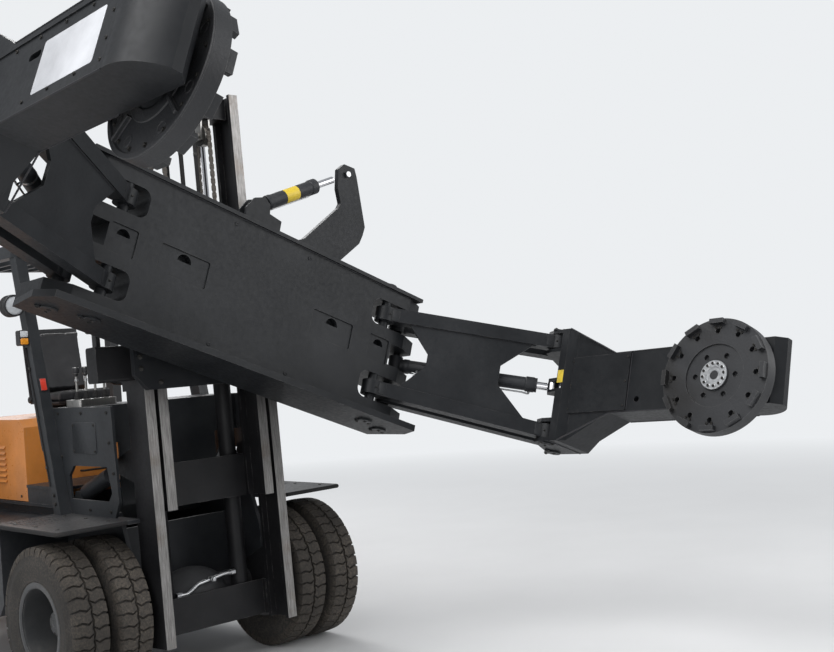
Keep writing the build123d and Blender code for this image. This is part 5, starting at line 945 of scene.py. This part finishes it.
s = Shape()
for sign in (1, -1):
    front = Axes(TRUCK.at(post_x(2.600) + 0.105, sign * 0.7853, 2.600), (0, 1, 0), (1, 0, 0))
    s.band(front, [(0.0760, -0.030), (0.0775, -0.004), (0.0775, 0.004), (0.0740, 0.008), (0.0665, 0.008),
        (0.0655, 0.001)], 40, 0)
    s.turned(front, [(0.0660, 0.001), (0.0560, 0.005), (0.0380, 0.008), (0.0180, 0.0092)], 40, 1)
    rear = Axes(TRUCK.at(post_x(2.600) + 0.020, sign * 0.7853, 2.600), (0, 1, 0), (-1, 0, 0))
    s.turned(rear, [(0.0720, -0.001), (0.0640, 0.012), (0.0380, 0.022)], 40, 0)
    for k in range(5):
        s.band(front.moved(0, 0, -0.022 - 0.014 * k), [(0.0750, -0.002), (0.0790, -0.001),
            (0.0790, 0.003), (0.0750, 0.004)], 40, 0)
    turn = Axes(TRUCK.at(post_x(2.370) + 0.040, sign * 0.7253, 2.370), (0, 1, 0), (1, 0, 0))
    for z, slot in ((0.026, 2), (-0.026, 1)):
        made = [(a, b + z * sign) for a, b in rounded(0.056, 0.044, 0.008)]
        s.prism(turn, made, 0.0, 0.009, 0.003, slot)
    block = Axes(TRUCK.at(post_x(2.030) + 0.0475, sign * 0.650, 2.030), (0, 1, 0), (0.972, 0, 0.233))
    s.prism(block, rounded(0.052, 0.094, 0.006), -0.001, 0.005, 0.001, 0)
    s.prism(block.moved(0, 0, 0.005), rounded(0.042, 0.084, 0.004), 0.0, 0.003, 0.001, 3)
    tail = Axes(TRUCK.at(-2.101, sign * 0.650, 2.050), (0, 1, 0), (-1, 0, 0.024))
    s.prism(tail, rounded(0.070, 0.220, 0.010), -0.002, 0.022, 0.003, 0)
    for z, slot in ((-0.066, 3), (0.0, 2), (0.066, 1)):
        s.prism(tail.moved(0, z, 0.022), rounded(0.058, 0.058, 0.010), 0.0, 0.010, 0.004, slot)
s.piece("truck_lamp_lenses", [LAMP_SHELL, LENS, AMBER, RED], "truck")

s = Shape()
for sign in (1, -1):
    for y in (-0.040, 0.040):
        front = Axes(MAST.at(-0.055, sign * 0.754 + y, 2.400), MAST.y, MAST.x)
        s.band(front, [(0.0390, -0.002), (0.0390, 0.006), (0.0370, 0.009), (0.0325, 0.009),
            (0.0318, 0.003)], 32, 0)
        s.turned(front, [(0.0320, 0.003), (0.0260, 0.006), (0.0160, 0.0078), (0.0060, 0.0082)], 32, 1)
    rear = Axes(MAST.at(-0.115, sign * 0.754, 2.400), MAST.y, -MAST.x)
    for y in (-0.06, -0.036, -0.012, 0.012, 0.036, 0.06):
        s.block(rear.moved(y, 0, 0), (-0.003, -0.048, -0.001), (0.003, 0.048, 0.012), 0.001, 0)
    for a, b in ((-0.074, 0.049), (0.074, 0.049), (-0.074, -0.049), (0.074, -0.049)):
        s.socket_head(Axes(MAST.at(-0.055, sign * 0.754 + a, 2.400 + b), MAST.y, MAST.x), 0.0055, 0.004,
            2)
s.piece("mast_lamp_lenses", [LAMP_SHELL, LENS, ZINC], "mast")


# Seat: a shell on bellows, with two cushions blown up as cloth
SEAT_BASE = (-1.560, 0.190, 1.780, 1.870)
SEAT_HALF = 0.250
CUSHION_ROOM = ((-1.740, 1.884), (-1.297, 1.884), (-1.283, 1.968), (-1.684, 1.948))
BACK_ROOM = ((-1.786, 1.904), (-1.689, 1.953), (-1.793, 2.466), (-1.864, 2.466))
SEAT_AXES = Axes(TRUCK.at(0, 0, 0), TRUCK.x, -TRUCK.y)


def edges_of(outline):
    return list(zip(outline, outline[1:] + outline[:1]))


def moved_in(outline, depth):
    """A convex outline with each edge moved inward."""
    lines = []
    for (a, b), (c, d) in edges_of(outline):
        along = Vector((c - a, d - b)).normalized()
        inward = Vector((-along.y, along.x))
        lines.append((Vector((a, b)) + inward * depth, along))
    made = []
    for (p, d), (q, e) in zip(lines[-1:] + lines[:-1], lines):
        t = (q - p).cross(e) / d.cross(e)
        made.append(tuple(p + d * t))
    return made


def cushion(name, room, seams, cap=0.024):
    """A stuffed pad inside its room, its cover sewn down along the seams."""
    s = Shape()
    s.prism(SEAT_AXES, moved_in(list(room), 0.012), -SEAT_HALF + 0.020, SEAT_HALF - 0.020)
    made = s.piece(name, SEAT_VINYL, "hood")
    remesh = made.modifiers.new("grid", "REMESH")
    remesh.mode, remesh.voxel_size = "VOXEL", 0.009
    made.data = bpy.data.meshes.new_from_object(made.evaluated_get(bpy.context.evaluated_depsgraph_get()))
    made.modifiers.clear()
    puff = made.modifiers.new("puff", "CLOTH")
    puff.settings.use_pressure = True
    puff.settings.uniform_pressure_force = 4.0
    puff.settings.effector_weights.gravity = 0.0
    for number in range(1, 21):
        bpy.context.scene.frame_set(number)
    blown = [v.co.copy() for v in made.evaluated_get(bpy.context.evaluated_depsgraph_get()).data.vertices]
    made.modifiers.clear()
    bpy.context.scene.frame_set(1)
    for v, b in zip(made.data.vertices, blown):
        step = b - v.co
        v.co = v.co + step * min(1.0, cap / max(step.length, 1e-6))
    centre = sum((Vector(p) for p in room), Vector((0, 0))) / len(room)
    for v in made.data.vertices:
        spot = Vector((v.co.x - SEAT_AXES.origin.x, v.co.z))
        for axis, line in seams:
            off = v.co.y - line if axis == "across" else (spot - Vector(line[0])).dot(Vector(line[1]))
            spot += (centre - spot).normalized() * 0.007 * 2.718 ** (-(off / 0.009) ** 2)
        for (a, b), (c, d) in edges_of(list(room)):
            along = Vector((c - a, d - b)).normalized()
            inward = Vector((-along.y, along.x))
            outside = (Vector((a, b)) - spot).dot(inward)
            if outside > 0:
                spot += inward * outside
        v.co.x, v.co.z = SEAT_AXES.origin.x + spot.x, spot.y
        v.co.y = max(-SEAT_HALF, min(SEAT_HALF, v.co.y))
    smooth = made.modifiers.new("smooth", "SUBSURF")
    smooth.levels = smooth.render_levels = 1
    for p in made.data.polygons:
        p.use_smooth = True
    return made


sit = cushion("seat_cushion", CUSHION_ROOM, (("across", 0.105), ("across", -0.105),
    ("along", ((-1.520, 1.95), (1.0, 0.0)))))
lean = cushion("seat_back", BACK_ROOM, (("across", 0.105), ("across", -0.105),
    ("along", ((-1.730, 2.15), (0.2, 0.98))), ("along", ((-1.775, 2.33), (0.2, 0.98)))))
s = Shape()
x, half, low, high = SEAT_BASE
steps = 6
for i in range(steps):
    z0 = low + (high - 0.012 - low) * i / steps
    z1 = low + (high - 0.012 - low) * (i + 1) / steps
    rows = []
    for z, grow in ((z0, -0.022), ((z0 + z1) / 2, -0.004), (z1, -0.022)):
        rows.append([TRUCK.at(x + a, b, z) for a, b in rounded(2 * (0.200 + grow), 2 * (half + grow),
            0.030)])
    s.rings(rows, 0)
s.prism(TRUCK.moved(x, 0, 0), rounded(0.398, 0.378, 0.030), high - 0.014, high - 0.001, 0.003, 1)
outline = [(-1.785, 1.871), (-1.300, 1.871), (-1.296, 1.8835), (-1.742, 1.8835), (-1.789, 1.905),
    (-1.866, 2.468), (-1.879, 2.468), (-1.796, 1.895)]
rows = [[SEAT_AXES.at(a, b, w) for a, b in outline] for w in (-SEAT_HALF + 0.012, SEAT_HALF - 0.012)]
s.rings(rows, 1)
for sign in (1, -1):
    s.tube(bend([TRUCK.at(-1.50, sign * 0.215, 1.877), TRUCK.at(-1.50, sign * 0.246, 1.877),
        TRUCK.at(-1.41, sign * 0.246, 1.877)], 0.02), 0.0055, 8, 2)
    s.turned(on(TRUCK.at(-1.79, sign * 0.2385, 1.905), TRUCK.y * sign), [(0.026, -0.002), (0.026, 0.006),
        (0.020, 0.010)], 24, 1)
shell = s.piece("seat_shell", [HOSE, BLACK_PLASTIC, STEEL], "hood", smooth=30.0)
for part in (sit, lean, shell):
    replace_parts(part, "seat")


# Levers: ball grips, bellows boots; the steering wheel's grip, horn button and spoke covers
LEVER_SPOTS = [(-0.420, -0.430 + 0.070 * (i - 1.5)) for i in range(4)]
COWL_TOP = 1.860
s = Shape()
for x, y in LEVER_SPOTS:
    foot = TRUCK.moved(x, y, COWL_TOP + 0.050)
    boot = [(0.029, 0.0)]
    for i in range(5):
        boot += [(0.026 - 0.003 * i, 0.004 + 0.010 * i), (0.020 - 0.002 * i, 0.009 + 0.010 * i)]
    s.turned(foot, boot + [(0.0105, 0.056)], 20, 1)
    grip = [(0.0105, 0.160), (0.015, 0.172), (0.0225, 0.182), (0.0245, 0.200), (0.0235, 0.218),
        (0.0175, 0.2265), (0.008, 0.2268)]
    s.turned(foot, grip, 24, 0)
    s.turned(foot, [(0.0098, 0.125), (0.0128, 0.127), (0.0128, 0.143), (0.0098, 0.145)], 12, 2)
wheel = Axes(TRUCK.at(-0.480, 0, 1.905), TRUCK.y, Vector((-0.45, 0, 0.893)))
count = 72
rows = []
for k in range(count):
    angle = 2 * pi * k / count
    size = 0.0180 + 0.0012 * cos(12 * angle)
    rows.append([wheel.at((0.178 + size * cos(t)) * cos(angle), (0.178 + size * cos(t)) * sin(angle),
        0.193 + size * sin(t)) for t in [2 * pi * i / 12 for i in range(12)]])
s.rings(rows + rows[:1], 0, (False, False))
s.turned(wheel, [(0.050, 0.178), (0.052, 0.190), (0.050, 0.208), (0.040, 0.216), (0.036, 0.214),
    (0.030, 0.2165), (0.012, 0.2185)], 36, 0)
for i in range(3):
    spoke = Axes(wheel.origin, wheel.way(cos(2 * pi * i / 3), sin(2 * pi * i / 3), 0), wheel.z)
    turns = [2 * pi * k / 12 for k in range(12)]
    widths = ((0.040, 0.022), (0.080, 0.016), (0.130, 0.0145), (0.168, 0.017))
    rows = [[spoke.at(r, w * cos(t), 0.193 + 0.0165 * sin(t)) for t in turns] for r, w in widths]
    s.rings(rows, 0)
s.turned(wheel.moved(0.178 * cos(2.4), 0.178 * sin(2.4), 0.205), [(0.010, 0.0), (0.010, 0.012),
    (0.021, 0.020), (0.0235, 0.034), (0.020, 0.046), (0.008, 0.050)], 24, 0)
s.band(wheel, [(0.0425, 0.060), (0.0445, 0.062), (0.0445, 0.110), (0.0425, 0.112)], 28, 1)
s.tube(bend([wheel.at(0.040, 0, 0.135), wheel.at(0.110, 0.01, 0.140), wheel.at(0.150, 0.015, 0.150)],
    0.02), 0.0055, 10, 0)
s.tube(bend([wheel.at(-0.040, 0, 0.135), wheel.at(-0.110, 0.01, 0.140), wheel.at(-0.145, 0.015, 0.150)],
    0.02), 0.0055, 10, 0)
s.piece("hand_controls", [BLACK_PLASTIC, HOSE, ZINC], "truck")


# Cowl: panel screws, side covers and grab bars
s = Shape()
for sign in (1, -1):
    for x, z in ((-0.50, 1.165), (-0.20, 1.165), (0.08, 1.165), (0.145, 1.42), (0.11, 1.62), (0.10, 1.82),
        (-0.25, 1.82), (-0.58, 1.82), (-0.56, 1.52)):
        s.socket_head(on(TRUCK.at(x, sign * 0.6080, z), TRUCK.y * sign), 0.0105, 0.007, 1)
    door = Axes(TRUCK.at(-0.220, sign * 0.6080, 1.650), TRUCK.x, TRUCK.y * sign)
    s.prism(door, rounded(0.330, 0.215, 0.022), -0.001, 0.0045, 0.002, 0)
    for a, b in ((-0.145, 0.088), (0.145, 0.088), (-0.145, -0.088), (0.145, -0.088)):
        s.socket_head(door.moved(a, b, 0.0045), 0.0085, 0.005, 1)
    s.tube(bend([TRUCK.at(post_x(1.55) - 0.050, sign * 0.6500, 1.55), TRUCK.at(post_x(1.58) - 0.115,
        sign * 0.6500, 1.56), TRUCK.at(post_x(2.12) - 0.115, sign * 0.6500, 2.12),
        TRUCK.at(post_x(2.13) - 0.050, sign * 0.6500, 2.13)], 0.045), 0.0135, 12, 0)
s.piece("cowl_trim", [CAB_GREY, BOLT_BLACK], "truck")


# Hood: louvres, latch and edge seal
HOOD_HALF, HOOD_LOW, HOOD_FRONT, HOOD_REAR = 0.595, 1.176, -1.170, -2.300
s = Shape()
for sign in (1, -1):
    wall = Axes(TRUCK.at(0, sign * HOOD_HALF, 0), TRUCK.x * -sign, TRUCK.y * sign)
    for bank in (-1.98, -1.62):
        for row in range(7):
            z = 1.330 + 0.042 * row
            blade = [wall.at(-sign * bank - 0.125, z, -0.001), wall.at(-sign * bank + 0.125, z, -0.001)]
            lip = [wall.at(-sign * bank - 0.118, z - 0.022, 0.014), wall.at(-sign * bank + 0.118,
                z - 0.022, 0.014)]
            foot = [wall.at(-sign * bank - 0.118, z - 0.026, 0.011), wall.at(-sign * bank + 0.118,
                z - 0.026, 0.011)]
            back = [wall.at(-sign * bank - 0.118, z - 0.016, -0.001), wall.at(-sign * bank + 0.118,
                z - 0.016, -0.001)]
            ends = [[r[k] for r in (blade, lip, foot, back)] for k in (0, 1)]
            s.rings(ends, 0)
    for x in (HOOD_FRONT - 0.10, (HOOD_FRONT + HOOD_REAR) / 2, HOOD_REAR + 0.10):
        s.socket_head(on(TRUCK.at(x, sign * HOOD_HALF, HOOD_LOW + 0.035), TRUCK.y * sign), 0.0095, 0.006,
            1)
    edge = sign * (HOOD_HALF - 0.010)
    s.tube([TRUCK.at(x, edge, HOOD_LOW) for x in (HOOD_FRONT - 0.005, HOOD_REAR)], 0.0085, 8, 2)
latch = Axes(TRUCK.at(HOOD_FRONT, 0, 1.640), TRUCK.y, TRUCK.x)
s.prism(latch, rounded(0.150, 0.080, 0.014), -0.001, 0.006, 0.002, 1)
s.prism(latch.moved(0, -0.004, 0.006), rounded(0.095, 0.040, 0.012), 0.0, 0.014, 0.004, 2)
s.tube(bend([TRUCK.at(HOOD_FRONT, -0.16, 1.35), TRUCK.at(HOOD_FRONT + 0.045, -0.16, 1.35),
    TRUCK.at(HOOD_FRONT + 0.045, 0.16, 1.35), TRUCK.at(HOOD_FRONT, 0.16, 1.35)], 0.03), 0.008, 10, 1)
s.piece("hood_trim", [BODY_ORANGE, BOLT_BLACK, HOSE], "hood")


# Tanks with steps and filler caps, fenders with their rubber edge
TANK_OUT, TANK_TOP, STEP_X, STEP_FLOOR, FENDER_HALF = 1.040, 1.080, -0.950, 0.7255, 1.120
s = Shape()
for sign in (1, -1):
    wall = Axes(TRUCK.at(0, sign * TANK_OUT, 0), TRUCK.x * -sign, TRUCK.y * sign)
    s.prism(TRUCK.moved(STEP_X, sign * 0.940, STEP_FLOOR), rounded(0.300, 0.170, 0.010), -0.001, 0.004,
        0.001, 1)
    for i in range(9):
        for j in range(5):
            s.turned(TRUCK.moved(STEP_X - 0.128 + 0.032 * i, sign * (0.876 + 0.032 * j),
                STEP_FLOOR + 0.004), [(0.0075, 0.0), (0.0065, 0.003), (0.0045, 0.0032)], 8, 1)
    cover = wall.moved(sign * 1.480, 0.800, 0)
    s.prism(cover, rounded(0.420, 0.300, 0.030), -0.001, 0.006, 0.002, 0)
    bolts(s, cover.moved(0, 0, 0.006), [(a, b) for a in (-0.18, 0.0, 0.18) for b in (-0.12, 0.12)],
        0.0105, slot=2)
    for x in (-1.230, -1.735):
        s.block(wall.moved(-sign * x, 0, 0), (-0.022, 0.475, -0.001), (0.022, 1.079, 0.005), 0.001, 0)
        bolts(s, wall.moved(-sign * x, 0, 0.005), [(0, 0.52), (0, 1.03)], 0.0095, slot=2)
    cap = TRUCK.moved(-1.480, sign * 0.860, TANK_TOP)
    s.turned(cap, [(0.052, -0.002), (0.052, 0.016), (0.060, 0.018), (0.062, 0.040), (0.056, 0.046),
        (0.030, 0.048)], 32, 2)
    for a in (0.0, pi / 2):
        s.block(Axes(cap.at(0, 0, 0.046), cap.way(cos(a), sin(a), 0), cap.z), (-0.045, -0.006, 0.0),
            (0.045, 0.006, 0.010), 0.002, 2)
    edge = [TRUCK.at(0.330, sign * 0.640, 1.113), TRUCK.at(0.330, sign * FENDER_HALF, 1.113),
        TRUCK.at(-0.600, sign * FENDER_HALF, 1.113)]
    s.tube(bend(edge, 0.02), 0.0145, 10, 3)
    for x in (0.20, -0.10, -0.40):
        for y in (0.70, 1.05):
            s.turned(TRUCK.moved(x, sign * y, 1.126), [(0.014, -0.001), (0.012, 0.004), (0.008, 0.006)],
                16, 2)
    for i in range(11):
        for j in range(7):
            rib = Axes(TRUCK.at(-0.560 + 0.040 * i, sign * (0.790 + 0.042 * j), 1.126),
                (1, 1 if (i + j) % 2 else -1, 0), TRUCK.z)
            s.block(rib, (-0.013, -0.0025, -0.001), (0.013, 0.0025, 0.0022), 0.0005, 0)
s.piece("chassis_trim", [FRAME_PAINT, DARK_CAST, BOLT_BLACK, HOSE], "truck")

s = Shape()
for sign in (1, -1):
    eye = [TRUCK.at(-2.700 + 0.055 * cos(pi * k / 12), sign * 0.640,
        1.712 + 0.085 * sin(pi * k / 12)) for k in range(13)]
    s.tube(eye, 0.013, 10, 2)
    for x in (-2.47, -2.55):
        s.turned(TRUCK.moved(x, sign * 0.42, 1.720), [(0.030, -0.002), (0.030, 0.005), (0.024, 0.008)], 6,
            2)
s.piece("counterweight_trim", [BODY_ORANGE, LAMP_SHELL, BOLT_BLACK], "truck")

s = Shape()
for sign in (1, -1):
    for x in (-0.96, -2.03):
        for dx in (-0.032, 0.032):
            s.hexagon(TRUCK.moved(x + dx, sign * 0.650, 2.9600), 0.0105, 0.007, 1)
    for z in (1.20, 1.26):
        s.hexagon(on(TRUCK.at(post_x(z), sign * 0.690, z), TRUCK.y * sign), 0.0115, 0.009, 1)
    s.tube([TRUCK.at(post_x(z) - 0.030, sign * 0.6935, z) for z in (1.32, 1.7, 2.1, 2.30)], 0.0055, 8, 2)
    for z in (1.45, 1.80, 2.15):
        s.block(Axes(TRUCK.at(post_x(z) - 0.030, sign * 0.690, z), TRUCK.x, TRUCK.y * sign),
            (-0.014, -0.008, -0.001), (0.014, 0.008, 0.010), 0.002, 1)
s.piece("guard_trim", [CAB_GREY, BOLT_BLACK, HOSE], "truck")


# The pipe that joins the feet of the two lift cylinders
s = Shape()
s.tube(bend([MAST.at(-0.300, -0.232, 0.560), MAST.at(-0.300, -0.150, 0.560), MAST.at(-0.300, -0.060,
    0.610), MAST.at(-0.300, 0.150, 0.640), MAST.at(-0.300, 0.232, 0.640)], 0.05), 0.0125, 12, 0)
for y, h, way in ((-0.232, 0.560, 1), (0.232, 0.640, -1)):
    nut = Axes(MAST.at(-0.300, y, h), MAST.z, MAST.y * way)
    s.turned(nut, [(0.021, -0.006), (0.021, 0.022), (0.017, 0.026)], 6, 0)
    s.turned(nut, [(0.017, 0.024), (0.018, 0.040), (0.0135, 0.044)], 14, 0)
tee = Axes(MAST.at(-0.300, 0.045, 0.625), MAST.y, MAST.x)
s.turned(tee, [(0.020, -0.020), (0.020, 0.026), (0.016, 0.030), (0.016, 0.044), (0.013, 0.046)], 6, 0)
s.piece("lift_pipe", ZINC, "mast")


# Carriage: screws round the plate, beads along the side plates
s = Shape()
plate = Axes(MAST.at(0.065, 0, ROTOR_H), MAST.y, MAST.x)
bolts(s, plate, [(sign * 0.565, h) for sign in (-1, 1) for h in (0.285, 0.17, -0.17, -0.285, -0.36)],
    0.014, slot=1)
bolts(s, plate, [(y, h) for y in (-0.48, 0.48) for h in (0.290,)] + [(-0.43, -0.455), (0.43, -0.455)],
    0.014, slot=1)
for a, b in ring_places(0.424, 20, 0.08):
    if abs(b) < 0.30 or b < 0:
        s.socket_head(plate.moved(a, b, 0), 0.0095, 0.008, 1)
for y in (-0.3405, 0.3405, -0.3095, 0.3095):
    bead(s, (MAST.at(0.0195, y, ROTOR_H - 0.42), MAST.at(0.0195, y, ROTOR_H + 0.30)), 0.005, 2)
s.piece("carriage_trim", [HANDLER_PAINT, BOLT_BLACK, WELD], "carriage")


# Stage, light and camera
floor = bpy.data.meshes.new("floor")
floor.from_pydata([(-60, -60, 0), (60, -60, 0), (60, 60, 0), (-60, 60, 0)], [], [(0, 1, 2, 3)])
floor_object = bpy.data.objects.new("floor", floor)
bpy.context.scene.collection.objects.link(floor_object)
floor_object.location.z = -0.001
BACKDROP = rgb(0.84, 0.86, 0.88)
FADE_FROM, FADE_TO = 5.0, 15.0
n = Nodes("floor")
soft = n.noise(0.7, 5.0)
floor.materials.append(n.finish(n.mix(n.span(soft, 0.3, 0.7), rgb(0.66, 0.66, 0.66),
    rgb(0.70, 0.70, 0.70)), 0.8))
away = n.new("ShaderNodeVectorMath", operation="LENGTH")
n.put(away.inputs[0], n.place)
seen = n.new("ShaderNodeLightPath").outputs["Is Camera Ray"]
glow = n.new("ShaderNodeEmission")
glow.inputs["Color"].default_value = BACKDROP
blend = n.new("ShaderNodeMixShader")
n.put(blend.inputs[0], n.math("MULTIPLY", seen, n.span(away.outputs["Value"], FADE_FROM, FADE_TO)))
n.tree.links.new(n.shader.outputs[0], blend.inputs[1])
n.tree.links.new(glow.outputs[0], blend.inputs[2])
n.tree.links.new(blend.outputs[0], n.tree.nodes["Material Output"].inputs["Surface"])
floor_object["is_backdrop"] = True

world = bpy.data.worlds.new("studio")
bpy.context.scene.world = world
world.use_nodes = True
tree = world.node_tree
background = tree.nodes["Background"]
background.inputs["Color"].default_value = rgb(0.86, 0.89, 0.93)
background.inputs["Strength"].default_value = 0.50
backdrop = tree.nodes.new("ShaderNodeBackground")
backdrop.inputs["Color"].default_value = BACKDROP
backdrop.inputs["Strength"].default_value = 1.0
path = tree.nodes.new("ShaderNodeLightPath")
either = tree.nodes.new("ShaderNodeMath")
either.operation = "MAXIMUM"
tree.links.new(path.outputs["Is Camera Ray"], either.inputs[0])
tree.links.new(path.outputs["Is Transmission Ray"], either.inputs[1])
chosen = tree.nodes.new("ShaderNodeMixShader")
tree.links.new(either.outputs[0], chosen.inputs[0])
tree.links.new(background.outputs[0], chosen.inputs[1])
tree.links.new(backdrop.outputs[0], chosen.inputs[2])
tree.links.new(chosen.outputs[0], tree.nodes["World Output"].inputs["Surface"])

LIGHTS = (("key", (2.5, -5.0, 10.0), (1.0, 0.0, 1.6), 8.0, 760.0), ("fill", (7.5, 5.5, 5.0),
    (0.8, 0.3, 1.5), 7.0, 300.0), ("back", (-8.0, 3.0, 7.0), (-0.5, 0.0, 1.5), 6.0, 460.0),
    ("near", (8.5, -7.5, 4.6), (1.2, 0.0, 1.5), 7.0, 190.0))
for name, place, aim, size, power in LIGHTS:
    lamp = bpy.data.lights.new(name, "AREA")
    lamp.energy, lamp.size, lamp.shape = power, size, "DISK"
    holder = bpy.data.objects.new(name, lamp)
    bpy.context.scene.collection.objects.link(holder)
    holder.location = place
    holder.rotation_mode = "QUATERNION"
    holder.rotation_quaternion = (Vector(aim) - Vector(place)).to_track_quat("-Z", "Y")

FRAME_WIDTH = 834
CAM_SPOT = Vector((AXLE_X + 7.05, -4.38, 2.10))
CAM_YAW, CAM_PITCH, CAM_ROLL, CAM_FOCUS = 2.3777, 0.0183, -0.0734, 1157.8
camera = bpy.data.cameras.new("camera")
camera.sensor_width = 36.0
camera.lens = CAM_FOCUS * camera.sensor_width / FRAME_WIDTH
eye = bpy.data.objects.new("camera", camera)
bpy.context.scene.collection.objects.link(eye)
ahead = Vector((cos(CAM_PITCH) * cos(CAM_YAW), cos(CAM_PITCH) * sin(CAM_YAW), sin(CAM_PITCH)))
level = Vector((sin(CAM_YAW), -cos(CAM_YAW), 0.0))
right = level * cos(CAM_ROLL) + level.cross(ahead) * sin(CAM_ROLL)
up = level.cross(ahead) * cos(CAM_ROLL) - level * sin(CAM_ROLL)
turned = Matrix((right, up, -ahead)).transposed().to_4x4()
eye.matrix_world = Matrix.Translation(CAM_SPOT) @ turned
camera.clip_end = 200.0
bpy.context.scene.camera = eye
bpy.context.scene.view_settings.view_transform = "Standard"

low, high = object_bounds()
{"cad": [list(cad_low), list(cad_high)], "visual": [list(low), list(high)]}
